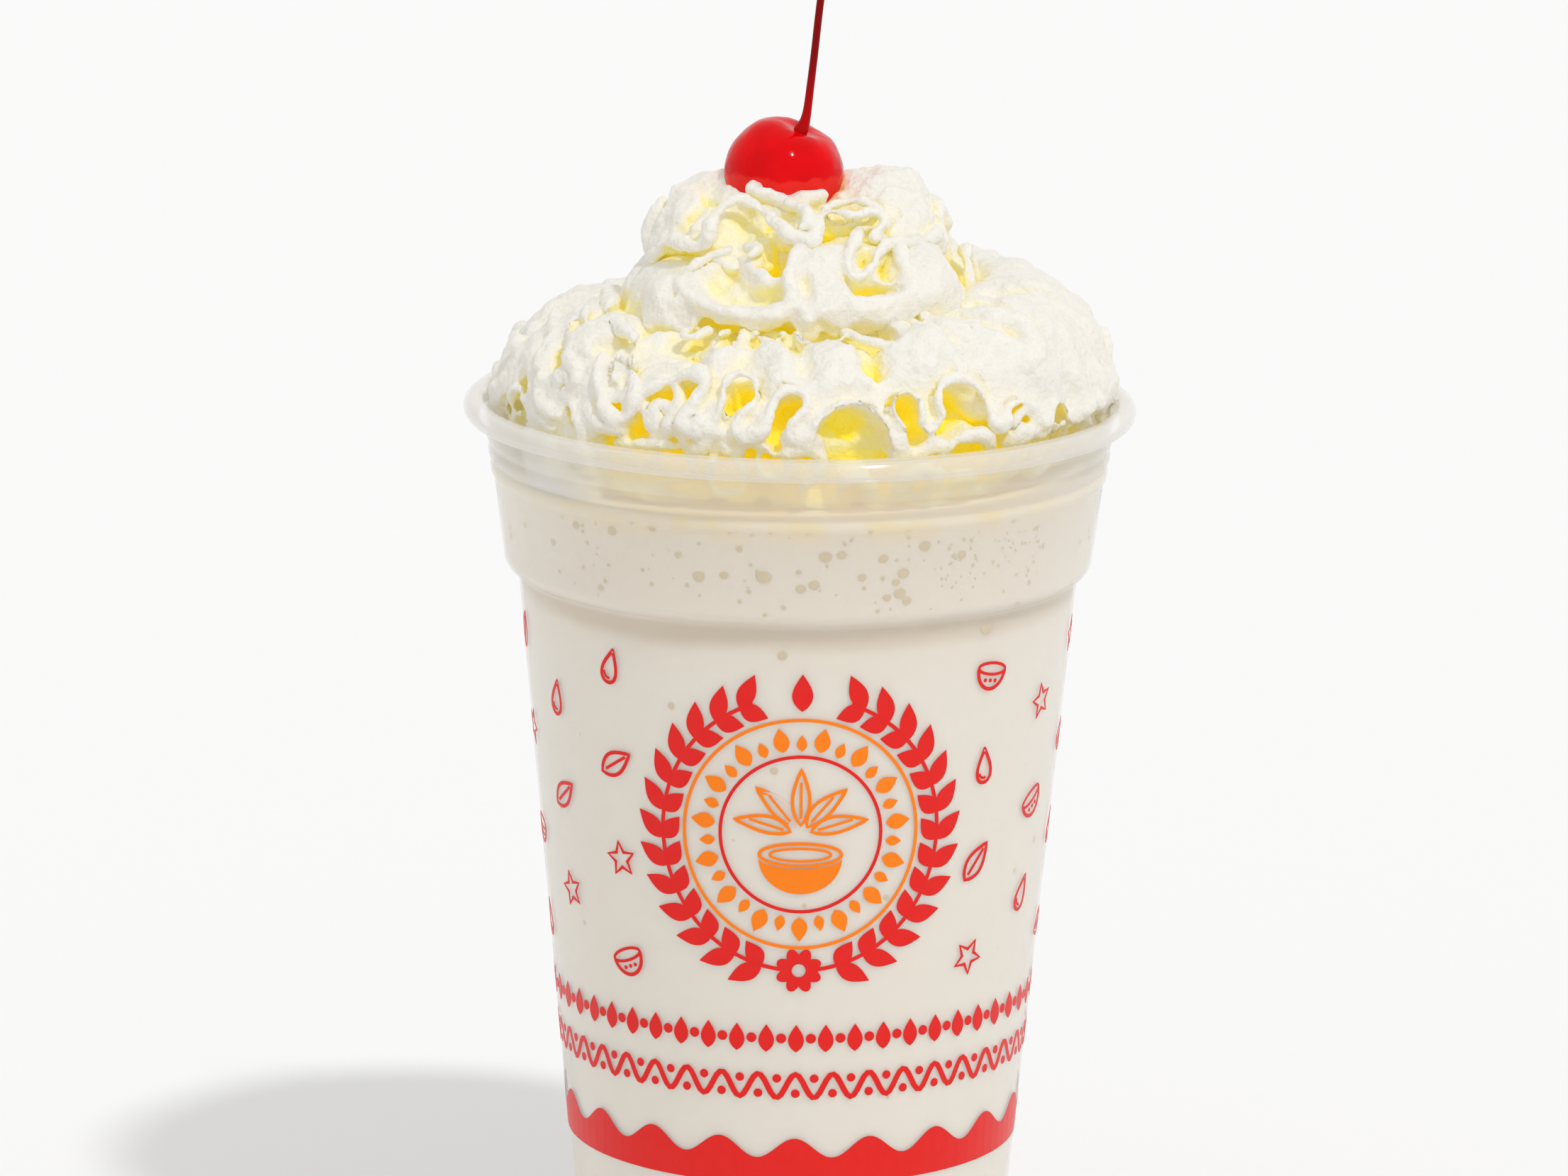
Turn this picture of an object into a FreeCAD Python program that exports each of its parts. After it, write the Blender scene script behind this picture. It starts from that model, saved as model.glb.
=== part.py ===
# Coconut milkshake: a clear takeaway cup with a rolled lip, filled with shake, topped with a
# piped swirl of whipped cream and a stemmed cherry.
# Millimetres, +Z up. The origin is the middle of the foot, on the surface the cup stands on;
# +X is to the right and -Y is the front. One STEP file is written for each piece.
import FreeCAD, Part
import Mesh
import math
import os

# ---- cup: one sheet of clear plastic, drawn as the outline of its inside face ----
CUP_HEIGHT = 143.0
LIP_DIAMETER = 98.0          # over the rolled lip
LIP_TUBE_RADIUS = 1.7        # outside of the roll
LIP_ROLL_DEG = 290.0         # how far the lip turns round on itself
WALL = 0.5
NECK_TOP_DIAMETER = 90.9     # outside, under the stacking rings' top edge
NECK_BOTTOM_DIAMETER = 86.1  # outside, where the shoulder starts
NECK_HEIGHT = 21.5           # from the lip's middle down to the shoulder
SHOULDER_DIAMETER = 81.7     # outside, just under the shoulder
SHOULDER_ROUND = 2.4         # the bulging round of the shoulder
SHOULDER_HOLLOW = 1.2        # the small hollow round under it
FOOT_DIAMETER = 60.5         # outside, where the side meets the foot's round
FOOT_ROUND = 1.2
FOOT_FLAT = 1.8              # width of the ring that the cup stands on
BASE_RISE = 3.0              # how far the base panel is pushed up inside the foot ring
BASE_SLOPE = 1.4             # how far the foot ring's inner side leans in over that rise
RING_COUNT = 3               # stacking rings round the neck
RING_PITCH = 2.5
RING_RELIEF = 0.4
RING_TOP_DROP = 2.7          # from the lip's middle down to the highest ring

# ---- drink ----
FILL_DROP = 9.7              # from the top of the lip down to the drink's level
FILL_CLEARANCE = 0.15        # between the drink and the inside of the cup

# ---- whipped cream: a thick rope from a star nozzle, wound up in a spiral ----
CREAM_GAP = 0.3              # soft cream stays this far from cup, drink and cherry
# Stations along the rope: turns from the start, middle of the rope from the axis,
# its height over the lip, and the rope's radius.
ROPE_STATIONS = [
    (0.00, 31.5, -2.0, 13.0),
    (0.50, 30.0, 0.5, 13.5),
    (0.75, 29.3, 1.2, 13.2),
    (1.00, 30.5, 4.2, 14.4),
    (1.50, 17.0, 10.0, 11.5),
    (2.00, 14.0, 16.0, 11.5),
    (2.50, 10.8, 22.3, 11.0),
    (2.75, 10.5, 19.8, 9.8),
    (3.00, 10.4, 23.6, 10.2),
]
ROPE_TAIL_TURNS = 0.3        # over which the rope thins out at both of its ends
RUFFLE_COUNTS = (24, 24, 15, 12)   # folds in the fins round each turn of the rope
RUFFLE_DEPTHS = (1.5, 1.5, 1.5, 1.2)
RUFFLE_LEAN_DEG = 9.0        # a fold leans this far round the swirl from its foot to its top
SMOOTH_SHARES = (0.75, 0.75, 0.4, 0.0)  # how far the folds fade out over the top of each turn
STAR_POINTS = 9              # points of the nozzle: grooves that run along the rope
STAR_DEPTH = 0.6
CREAM_HEART_HEIGHT = 15.0    # middle of the last squeeze, on the axis, over the lip
CREAM_HEART_RADIUS = 11.0
CREAM_FOCUS_HEIGHT = 0.0     # height over the lip of the point that the surface is measured from
CREAM_BLEND = 1.1            # size of the soft valley where two turns meet
CREAM_STEPS_ROUND = 144
CREAM_STEPS_SIDE = 26        # rings of facets from the foot up to the cherry's bowl
CREAM_STEPS_BOWL = 5
BOWL_LIP_DEG = 0.3           # slant of the bowl's lip, as seen from the focus

# ---- cherry and its stem ----
CHERRY_DIAMETER = 17.2
CHERRY_OFFSET = (-2.8, -1.0)  # middle of the cherry from the cup's axis
CHERRY_HEIGHT = 32.4          # middle of the cherry over the lip
CHERRY_TILT_DEG = 20.0        # the dimple leans this far to the right
CHERRY_NOD_DEG = 8.0          # and this far to the front
DIMPLE_RADIUS = 3.0
DIMPLE_DEPTH = 1.3
STEM_DIAMETER = 1.15
STEM_FLARE_DIAMETER = 2.6     # at its foot, in the dimple
STEM_FLARE_HEIGHT = 4.0
STEM_KNOB_DIAMETER = 2.2      # where it broke off the twig
STEM_LENGTH = 38.0            # from the dimple's floor
STEM_LEAN_DEG = 8.0           # from upright, at its top
STEM_SEAT_DEPTH = 2.5         # how far it goes into the flesh
STEM_SEAT_DIAMETER = 1.8
STEM_CLEARANCE = 0.05         # round the stem in its hole

# ---- worked out from the sizes above ----
LIP_MIDDLE = CUP_HEIGHT - LIP_TUBE_RADIUS
LIP_CENTRE_RADIUS = LIP_DIAMETER / 2 - LIP_TUBE_RADIUS
FILL_LEVEL = CUP_HEIGHT - FILL_DROP
RING_TOP = LIP_MIDDLE - RING_TOP_DROP
RING_BOTTOM = RING_TOP - RING_COUNT * RING_PITCH
NECK_BOTTOM = LIP_MIDDLE - NECK_HEIGHT
CHERRY_RADIUS = CHERRY_DIAMETER / 2
CHERRY_CENTRE = FreeCAD.Vector(*CHERRY_OFFSET, CUP_HEIGHT + CHERRY_HEIGHT)
FULL_TURN = 2 * math.pi


def flat(radius, height):
    """A point of an outline, in the plane through the axis."""
    return FreeCAD.Vector(radius, 0, height)


def line(start, end):
    return Part.makeLine(start, end)


def arc(start, middle, end):
    return Part.Arc(start, middle, end).toShape()


def turned(outline):
    """The solid that a closed outline sweeps round the axis."""
    return Part.Face(Part.Wire(outline)).revolve(
        FreeCAD.Vector(), FreeCAD.Vector(0, 0, 1), 360)


def neck_radius(height):
    """Inside radius of the plain neck, which widens a little to the top."""
    share = (height - NECK_BOTTOM) / (RING_TOP - NECK_BOTTOM)
    diameter = NECK_BOTTOM_DIAMETER + share * (NECK_TOP_DIAMETER - NECK_BOTTOM_DIAMETER)
    return diameter / 2 - WALL


def base_outline():
    """Inside face from the axis over the pushed-up base and down into the foot ring."""
    foot_radius = FOOT_DIAMETER / 2 - WALL
    side_foot = flat(foot_radius, WALL + FOOT_ROUND)
    round_centre = flat(foot_radius - FOOT_ROUND, WALL + FOOT_ROUND)
    ring_outer = flat(round_centre.x, WALL)
    ring_inner = flat(ring_outer.x - FOOT_FLAT, WALL)
    panel_edge = flat(ring_inner.x - BASE_SLOPE, BASE_RISE + WALL)
    lean = FOOT_ROUND * math.sin(math.radians(45))
    round_middle = flat(round_centre.x + lean, round_centre.z - lean)
    return [
        line(flat(0, panel_edge.z), panel_edge),
        line(panel_edge, ring_inner),
        line(ring_inner, ring_outer),
        arc(ring_outer, round_middle, side_foot),
    ]


def shoulder_outline():
    """Inside face from the foot up the tapered side and out over the S-shaped shoulder."""
    side_foot = flat(FOOT_DIAMETER / 2 - WALL, WALL + FOOT_ROUND)
    side_radius = SHOULDER_DIAMETER / 2 - WALL
    outer_radius = neck_radius(NECK_BOTTOM)
    step = outer_radius - side_radius
    turn = math.acos(1 - step / (SHOULDER_ROUND + SHOULDER_HOLLOW))
    hollow_centre = flat(
        side_radius + SHOULDER_HOLLOW,
        NECK_BOTTOM - (SHOULDER_ROUND + SHOULDER_HOLLOW) * math.sin(turn))
    bulge_centre = flat(outer_radius - SHOULDER_ROUND, NECK_BOTTOM)

    def on_hollow(angle):
        return hollow_centre + flat(
            -SHOULDER_HOLLOW * math.cos(angle), SHOULDER_HOLLOW * math.sin(angle))

    def on_bulge(angle):
        return bulge_centre + flat(
            SHOULDER_ROUND * math.cos(angle), -SHOULDER_ROUND * math.sin(angle))

    return [
        line(side_foot, on_hollow(0)),
        arc(on_hollow(0), on_hollow(turn / 2), on_hollow(turn)),
        arc(on_bulge(turn), on_bulge(turn / 2), on_bulge(0)),
    ]


def neck_outline():
    """Inside face up the neck: plain, then a stack of bulging rings."""
    neck = [line(flat(neck_radius(NECK_BOTTOM), NECK_BOTTOM),
                 flat(neck_radius(RING_BOTTOM), RING_BOTTOM))]
    for ring in range(RING_COUNT):
        low = RING_BOTTOM + ring * RING_PITCH
        middle = low + RING_PITCH / 2
        high = low + RING_PITCH
        neck.append(arc(flat(neck_radius(low), low),
                        flat(neck_radius(middle) + RING_RELIEF, middle),
                        flat(neck_radius(high), high)))
    return neck


def lip_outline():
    """Inside face from the neck out into the lip, which rolls over and under itself."""
    centre = flat(LIP_CENTRE_RADIUS, LIP_MIDDLE)

    def on_roll(turned_deg):
        angle = math.radians(180 - turned_deg)
        return centre + flat(LIP_TUBE_RADIUS * math.cos(angle), LIP_TUBE_RADIUS * math.sin(angle))

    return [
        line(flat(neck_radius(RING_TOP), RING_TOP), on_roll(0)),
        arc(on_roll(0), on_roll(LIP_ROLL_DEG / 2), on_roll(LIP_ROLL_DEG)),
    ]


def make_cup():
    """The inside face thickened outwards by the wall, turned round the axis."""
    inside = Part.Wire(base_outline() + shoulder_outline() + neck_outline() + lip_outline())
    section = inside.makeOffset2D(-WALL, fill=True, openResult=True)
    return section.revolve(FreeCAD.Vector(), FreeCAD.Vector(0, 0, 1), 360)


def make_milkshake():
    """The drink fills the cup to its level, a small clearance inside the wall."""
    inside = Part.Wire(base_outline() + shoulder_outline() + neck_outline())
    skin = inside.makeOffset2D(FILL_CLEARANCE, openResult=True)
    corners = [vertex.Point for vertex in skin.Vertexes]
    top_edge = max(corners, key=lambda point: point.z)
    foot_middle = min(corners, key=lambda point: point.x)
    top_middle = flat(0, top_edge.z)
    outline = skin.Edges + [line(top_edge, top_middle), line(top_middle, foot_middle)]
    filled = turned(Part.__sortEdges__(outline))
    return filled.common(Part.makeCylinder(LIP_DIAMETER, FILL_LEVEL))


def station(turn):
    """Middle radius, height and thickness of the cream rope, smoothed between its stations."""
    first, last = ROPE_STATIONS[0], ROPE_STATIONS[-1]
    inside_turn = min(max(turn, first[0]), last[0])
    for here, after in zip(ROPE_STATIONS, ROPE_STATIONS[1:]):
        if inside_turn <= after[0]:
            break
    share = (inside_turn - here[0]) / (after[0] - here[0])
    ease = share * share * (3 - 2 * share)
    radius, height, rope = (a + ease * (b - a) for a, b in zip(here[1:], after[1:]))
    beyond = abs(turn - inside_turn) / ROPE_TAIL_TURNS
    return radius, CUP_HEIGHT + height, rope * max(0.0, 1 - beyond * beyond)


def rope_reach(pass_number, round_share, elevation):
    """How far one pass of the rope reaches from the focus, in one direction."""
    radius, height, rope = station(pass_number + round_share)
    focus_height = CUP_HEIGHT + CREAM_FOCUS_HEIGHT
    along = radius * math.cos(elevation) + (height - focus_height) * math.sin(elevation)
    across = radius * math.sin(elevation) - (height - focus_height) * math.cos(elevation)
    if abs(across) >= rope:
        return 0.0
    tier = max(pass_number, 0)
    slope = math.asin(across / rope)
    folded = 1 - SMOOTH_SHARES[tier] * (1 + math.sin(slope)) / 2
    leaning = RUFFLE_LEAN_DEG / 360 * math.sin(slope)
    fold = math.cos(FULL_TURN * RUFFLE_COUNTS[tier] * (round_share + leaning))
    groove = math.cos(STAR_POINTS * slope)
    relief = (RUFFLE_DEPTHS[tier] * fold + STAR_DEPTH * groove) * folded
    return along + rope * math.cos(slope) + relief * math.cos(slope) ** 2


def heart_reach(elevation):
    """How far the round heart of the swirl reaches from the focus, which lies inside it."""
    over_focus = CREAM_HEART_HEIGHT - CREAM_FOCUS_HEIGHT
    across = over_focus * math.cos(elevation)
    if abs(across) >= CREAM_HEART_RADIUS:
        return 0.0
    return over_focus * math.sin(elevation) + math.sqrt(CREAM_HEART_RADIUS ** 2 - across ** 2)


def blended(reaches):
    """The largest reach, with soft valleys where two are alike."""
    largest = max(reaches)
    return largest + CREAM_BLEND * math.log(
        sum(math.exp((reach - largest) / CREAM_BLEND) for reach in reaches))


def bowl_reach(direction, focus):
    """Distance from the focus to the bowl that the cherry sits in, or none beside it."""
    to_cherry = CHERRY_CENTRE - focus
    along = to_cherry.dot(direction)
    bowl = CHERRY_RADIUS + CREAM_GAP
    inside = bowl * bowl - (to_cherry.dot(to_cherry) - along * along)
    return along - math.sqrt(inside) if inside > 0 else math.inf


def bowl_edge(angle, focus):
    """Elevation at which the view from the focus first grazes the cherry's bowl."""
    to_cherry = CHERRY_CENTRE - focus
    bowl = CHERRY_RADIUS + CREAM_GAP
    graze = math.sqrt(1 - (bowl / to_cherry.Length) ** 2)
    level = (to_cherry.x * math.cos(angle) + to_cherry.y * math.sin(angle)) / to_cherry.Length
    upright = to_cherry.z / to_cherry.Length
    return math.atan2(upright, level) - math.acos(graze / math.hypot(level, upright))


def cream_point(round_share, elevation, focus):
    """A point of the cream's upper skin, in one direction from the focus."""
    angle = FULL_TURN * round_share
    direction = FreeCAD.Vector(
        math.cos(elevation) * math.cos(angle),
        math.cos(elevation) * math.sin(angle),
        math.sin(elevation))
    passes = range(-1, len(RUFFLE_COUNTS))
    reaches = [rope_reach(number, round_share, elevation) for number in passes]
    reach = blended(reaches + [heart_reach(elevation)])
    reach = min(reach, bowl_reach(direction, focus))
    if focus.z + reach * math.sin(elevation) < CUP_HEIGHT + CREAM_GAP:
        inner_wall = min(neck_radius(FILL_LEVEL + CREAM_GAP), neck_radius(RING_TOP)) - CREAM_GAP
        reach = min(reach, inner_wall / math.cos(elevation))
    return focus + direction * reach


def cream_meridian(round_share, focus):
    """The cream's outline in one direction: its foot, its side, and the bowl under the cherry."""
    angle = FULL_TURN * round_share
    foot_height = FILL_LEVEL + CREAM_GAP
    fold = (1 - math.cos(FULL_TURN * RUFFLE_COUNTS[0] * round_share)) / 2
    foot_radius = neck_radius(foot_height) - CREAM_GAP - RUFFLE_DEPTHS[0] * fold
    foot = FreeCAD.Vector(
        foot_radius * math.cos(angle), foot_radius * math.sin(angle), foot_height)
    lowest = math.atan2(foot_height - focus.z, foot_radius)
    edge = bowl_edge(angle, focus)
    lip = edge + math.radians(BOWL_LIP_DEG)
    side = [lowest + (edge - lowest) * step / CREAM_STEPS_SIDE
            for step in range(1, CREAM_STEPS_SIDE + 1)]
    bowl = [lip + (math.pi / 2 - lip) * (step / CREAM_STEPS_BOWL) ** 2
            for step in range(CREAM_STEPS_BOWL)]
    return [foot] + [cream_point(round_share, elevation, focus) for elevation in side + bowl]


def make_whipped_cream():
    """The cream's skin in strips of facets, closed below by a flat foot."""
    focus = FreeCAD.Vector(0, 0, CUP_HEIGHT + CREAM_FOCUS_HEIGHT)
    foot_middle = FreeCAD.Vector(0, 0, FILL_LEVEL + CREAM_GAP)
    bowl_middle = cream_point(0, math.pi / 2, focus)
    meridians = [cream_meridian(step / CREAM_STEPS_ROUND, focus)
                 for step in range(CREAM_STEPS_ROUND)]
    facets = []
    for here, after in zip(meridians, meridians[1:] + meridians[:1]):
        facets.append([foot_middle, after[0], here[0]])
        facets.append([bowl_middle, here[-1], after[-1]])
        for row in range(len(here) - 1):
            facets.append([here[row], after[row], after[row + 1]])
            facets.append([here[row], after[row + 1], here[row + 1]])
    skin = Part.Shape()
    skin.makeShapeFromMesh(Mesh.Mesh(facets).Topology, 0.001)
    return Part.makeSolid(skin)


def placed_on_cherry(shape):
    """Turns a shape about the cherry's middle to the cherry's own lean, and moves it there."""
    tilt = FreeCAD.Rotation(FreeCAD.Vector(0, 1, 0), CHERRY_TILT_DEG)
    nod = FreeCAD.Rotation(FreeCAD.Vector(1, 0, 0), CHERRY_NOD_DEG)
    shape.Placement = FreeCAD.Placement(CHERRY_CENTRE, nod.multiply(tilt))
    return shape


def dimple_floor():
    return CHERRY_RADIUS - DIMPLE_DEPTH


def make_cherry():
    """A ball with a dimple round the hole that the stem sits in, turned on its own axis."""
    seat_radius = STEM_SEAT_DIAMETER / 2 + STEM_CLEARANCE
    floor = dimple_floor()
    seat_floor = floor - STEM_SEAT_DEPTH - STEM_CLEARANCE
    rim_angle = math.asin(DIMPLE_RADIUS / CHERRY_RADIUS)
    rim = flat(DIMPLE_RADIUS, CHERRY_RADIUS * math.cos(rim_angle))
    side = flat(CHERRY_RADIUS, 0)
    lower = flat(CHERRY_RADIUS * math.sin(math.pi / 4), -CHERRY_RADIUS * math.cos(math.pi / 4))
    upper_angle = (rim_angle + math.pi / 2) / 2
    upper = flat(CHERRY_RADIUS * math.sin(upper_angle), CHERRY_RADIUS * math.cos(upper_angle))
    half_way = flat((DIMPLE_RADIUS + seat_radius) / 2, floor + (rim.z - floor) * 0.2)
    ball = turned([
        arc(flat(0, -CHERRY_RADIUS), lower, side),
        arc(side, upper, rim),
        arc(rim, half_way, flat(seat_radius, floor)),
        line(flat(seat_radius, floor), flat(seat_radius, seat_floor)),
        line(flat(seat_radius, seat_floor), flat(0, seat_floor)),
        line(flat(0, seat_floor), flat(0, -CHERRY_RADIUS)),
    ])
    return placed_on_cherry(ball)


def make_cherry_stem():
    """Round sections along a gentle bend: seat, flare, thin stalk and the knob at its end."""
    seat = placed_on_cherry(Part.makeCylinder(
        STEM_SEAT_DIAMETER / 2, STEM_SEAT_DEPTH, flat(0, dimple_floor() - STEM_SEAT_DEPTH)))
    turn = seat.Placement.Rotation
    root = CHERRY_CENTRE + turn.multVec(flat(0, dimple_floor()))
    start = turn.multVec(flat(0, 1))
    lean = math.radians(STEM_LEAN_DEG)
    end = FreeCAD.Vector(math.sin(lean), 0, math.cos(lean))
    knob_start = STEM_LENGTH - 2 * STEM_KNOB_DIAMETER
    widths = [
        (0.0, STEM_SEAT_DIAMETER),
        (0.25 * STEM_FLARE_HEIGHT, STEM_FLARE_DIAMETER * 0.8),
        (STEM_FLARE_HEIGHT, STEM_DIAMETER * 1.2),
        (2.5 * STEM_FLARE_HEIGHT, STEM_DIAMETER),
        (0.55 * STEM_LENGTH, STEM_DIAMETER),
        (knob_start, STEM_DIAMETER * 1.1),
        (STEM_LENGTH - 0.4 * STEM_KNOB_DIAMETER, STEM_KNOB_DIAMETER),
        (STEM_LENGTH, STEM_KNOB_DIAMETER * 0.7),
    ]
    sections = []
    place = root
    before = 0.0
    for along, width in widths:
        share = min(along / (2.5 * STEM_FLARE_HEIGHT), 1.0)
        direction = (start * (1 - share) + end * share).normalize()
        place = place + direction * (along - before)
        before = along
        sections.append(Part.Wire(Part.makeCircle(width / 2, place, direction)))
    stalk = Part.makeLoft(sections, True, False)
    return stalk.fuse(seat)


PIECES = {
    "cup": make_cup,
    "milkshake": make_milkshake,
    "whipped_cream": make_whipped_cream,
    "cherry": make_cherry,
    "cherry_stem": make_cherry_stem,
}

os.makedirs("parts", exist_ok=True)
for node, make in PIECES.items():
    piece = make()
    box = piece.optimalBoundingBox()
    print(f"{node}: {len(piece.Solids)} solid, {len(piece.Faces)} faces, valid {piece.isValid()}, "
          f"{piece.Volume / 1000:.1f} ml, X {box.XMin:.1f}..{box.XMax:.1f}, "
          f"Y {box.YMin:.1f}..{box.YMax:.1f}, Z {box.ZMin:.1f}..{box.ZMax:.1f}")
    piece.exportStep(f"parts/{node}.step")
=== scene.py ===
# %% [markdown]
# # A coconut milkshake in its takeaway cup
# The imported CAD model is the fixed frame: it gives every piece's place and size. This lesson
# builds the looks round it, one cell at a time: a clear plastic cup with its print, the shake
# with its bubbles, a piped swirl of whipped cream, and a cherry with its stem.

# %% Load the frame
import bpy
import math
import numpy as np
from mathutils import Matrix, Vector


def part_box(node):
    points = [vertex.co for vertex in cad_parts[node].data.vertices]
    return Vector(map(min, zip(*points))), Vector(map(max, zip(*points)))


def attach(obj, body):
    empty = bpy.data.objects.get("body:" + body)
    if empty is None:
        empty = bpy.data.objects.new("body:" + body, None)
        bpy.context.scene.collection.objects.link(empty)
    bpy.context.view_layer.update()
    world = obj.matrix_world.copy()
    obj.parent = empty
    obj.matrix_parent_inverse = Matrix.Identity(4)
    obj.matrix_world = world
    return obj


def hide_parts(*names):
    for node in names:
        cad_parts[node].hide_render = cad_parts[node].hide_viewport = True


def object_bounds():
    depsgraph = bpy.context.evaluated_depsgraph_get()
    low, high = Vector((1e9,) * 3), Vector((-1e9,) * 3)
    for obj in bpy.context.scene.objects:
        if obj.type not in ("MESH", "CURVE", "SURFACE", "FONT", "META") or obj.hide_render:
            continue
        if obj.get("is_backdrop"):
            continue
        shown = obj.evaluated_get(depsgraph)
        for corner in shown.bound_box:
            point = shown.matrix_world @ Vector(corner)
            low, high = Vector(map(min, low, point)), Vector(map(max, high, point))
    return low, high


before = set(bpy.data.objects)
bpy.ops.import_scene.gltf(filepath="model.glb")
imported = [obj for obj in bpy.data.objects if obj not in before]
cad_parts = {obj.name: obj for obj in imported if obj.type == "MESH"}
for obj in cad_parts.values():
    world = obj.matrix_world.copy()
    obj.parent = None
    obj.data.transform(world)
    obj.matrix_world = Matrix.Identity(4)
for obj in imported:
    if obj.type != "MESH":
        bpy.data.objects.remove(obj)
MM = 0.001
cad_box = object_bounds()
cup_low, cup_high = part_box("cup")
cup_height = cup_high.z
lip_radius = (cup_high.x - cup_low.x) / 2
print("cup", round(cup_height / MM, 1), "mm high, lip radius", round(lip_radius / MM, 1), "mm")

# %% [markdown]
# ## The camera
# A long lens from a little over a metre away keeps the cup's sides nearly straight. The camera
# aims at the upper part of the cup and looks down by about 12.6 degrees. A small roll about its
# own view leans the cup as a hand-held shot does. An empty isn't needed: the place follows from
# the aim, the distance and the angle.

# %% Camera
view_distance = 1.16
view_down = math.radians(12.557)
view_roll = math.radians(0.668)
aim = Vector((-1.99 * MM, 0, cup_height - 28.96 * MM))

camera_data = bpy.data.cameras.new("camera")
camera_data.sensor_width = 36
camera_data.lens = 181.73
camera = bpy.data.objects.new("camera", camera_data)
bpy.context.scene.collection.objects.link(camera)
turned = Matrix.Rotation(math.pi / 2 - view_down, 4, "X") @ Matrix.Rotation(view_roll, 4, "Z")
eye = aim + view_distance * Vector((0, -math.cos(view_down), math.sin(view_down)))
camera.matrix_world = Matrix.Translation(eye) @ turned
bpy.context.scene.camera = camera
print("camera at", [round(v, 3) for v in eye])

# %% [markdown]
# ## Light, floor and background
# Bright, even light from all round fills the shadows, as in a white studio, and one soft lamp
# high on the right and to the front gives the long shadow to the left. The shadow's far edge
# gives the lamp's direction, and the width of its soft edge gives the lamp's angular size. The
# floor is lit to nearly white, and what the camera sees past it has the same tone.

# %% Lights and floor
scene = bpy.context.scene
scene.view_settings.view_transform = "Standard"

lamp_data = bpy.data.lights.new("key", "SUN")
lamp_data.energy = 1.1
lamp_data.angle = math.radians(4.5)
lamp = bpy.data.objects.new("key", lamp_data)
scene.collection.objects.link(lamp)
to_lamp = Vector((0.061, -0.0914, 0.142))
lamp.rotation_euler = to_lamp.to_track_quat("Z", "Y").to_euler()

bpy.ops.mesh.primitive_plane_add(size=14)
floor = bpy.context.object
floor.name = "floor"
floor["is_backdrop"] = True
print("lamp stands", round(math.degrees(to_lamp.angle(Vector((0, 0, 1)))), 1), "degrees off the top")

# %% [markdown]
# ## A way to write materials
# A material is a graph of nodes. Writing it as sums keeps it readable: a wire is one output
# socket, and adding or multiplying wires adds a Math node. Every other node comes from one
# method, which takes the node's type, its settings, and what goes into its sockets.

# %% Wires and finishes
class Wire:
    """One output socket that can be used in an expression."""

    def __init__(self, finish, socket):
        self.finish = finish
        self.socket = socket

    def math(self, operation, first, second):
        return self.finish.node("ShaderNodeMath", {"operation": operation}, {0: first, 1: second})

    def __add__(self, other):
        return self.math("ADD", self, other)

    def __sub__(self, other):
        return self.math("SUBTRACT", self, other)

    def __rsub__(self, other):
        return self.math("SUBTRACT", other, self)

    def __mul__(self, other):
        return self.math("MULTIPLY", self, other)

    __radd__ = __add__
    __rmul__ = __mul__


class Finish:
    """A material under construction, or a world when one is given."""

    def __init__(self, name, block=None):
        self.block = block or bpy.data.materials.new(name)
        self.block.use_nodes = True
        self.tree = self.block.node_tree
        self.tree.nodes.clear()

    def node(self, kind, settings=None, inputs=None, output=0):
        made = self.tree.nodes.new(kind)
        for key, value in (settings or {}).items():
            if key == "stops":
                self.set_stops(made.color_ramp, value)
            else:
                setattr(made, key, value)
        for key, value in (inputs or {}).items():
            if isinstance(value, Wire):
                self.tree.links.new(value.socket, made.inputs[key])
            else:
                made.inputs[key].default_value = value
        return Wire(self, made.outputs[output])

    @staticmethod
    def set_stops(ramp, stops):
        while len(ramp.elements) < len(stops):
            ramp.elements.new(0.5)
        for element, (place, tint) in zip(ramp.elements, stops):
            element.position = place
            element.color = tint

    def place(self):
        """Where a point lies on the piece, in metres."""
        return self.node("ShaderNodeTexCoord", output="Object")

    def along_axis(self, axis):
        """One part of the place: 0 is to the right, 1 to the back and 2 up."""
        return self.node("ShaderNodeSeparateXYZ", {}, {0: self.place()}, output=axis)

    def run(self, value, low, high, at_low=0.0, at_high=1.0):
        """Runs evenly from one number to another while a value goes from low to high."""
        return self.node("ShaderNodeMapRange", {}, {
            "Value": value, "From Min": low, "From Max": high, "To Min": at_low, "To Max": at_high})

    def noise(self, size, detail=2.0):
        """Soft noise from 0 to 1 whose blobs are about this many metres wide."""
        sockets = {"Vector": self.place(), "Scale": 1 / size, "Detail": detail}
        return self.node("ShaderNodeTexNoise", {}, sockets)

    def ramp(self, value, stops):
        return self.node("ShaderNodeValToRGB", {"stops": stops}, {"Fac": value})

    def mix(self, factor, first, second):
        sockets = {0: factor, 6: first, 7: second}
        return self.node("ShaderNodeMix", {"data_type": "RGBA"}, sockets, output=2)

    def bump(self, height, strength, distance):
        sockets = {"Height": height, "Strength": strength, "Distance": distance}
        return self.node("ShaderNodeBump", {}, sockets)

    def surface(self, **sockets):
        """Ends the material with one shader; spaces in socket names are written as underscores."""
        inputs = {key.replace("_", " "): value for key, value in sockets.items()}
        return self.end("ShaderNodeOutputMaterial", self.node("ShaderNodeBsdfPrincipled", {}, inputs))

    def end(self, kind, shader):
        """Links a shader to the node that closes the graph."""
        last = self.tree.nodes.new(kind)
        self.tree.links.new(shader.socket, last.inputs["Surface"])
        return self.block


def colour(red, green, blue):
    """A screen colour from 0 to 255, as the linear light that shaders work in."""
    def linear(value):
        value /= 255
        return value / 12.92 if value <= 0.04045 else ((value + 0.055) / 1.055) ** 2.4
    return (linear(red), linear(green), linear(blue), 1.0)


def coat(piece, material):
    """Puts a finish on a whole piece."""
    piece.data.materials.clear()
    piece.data.materials.append(material)


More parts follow.
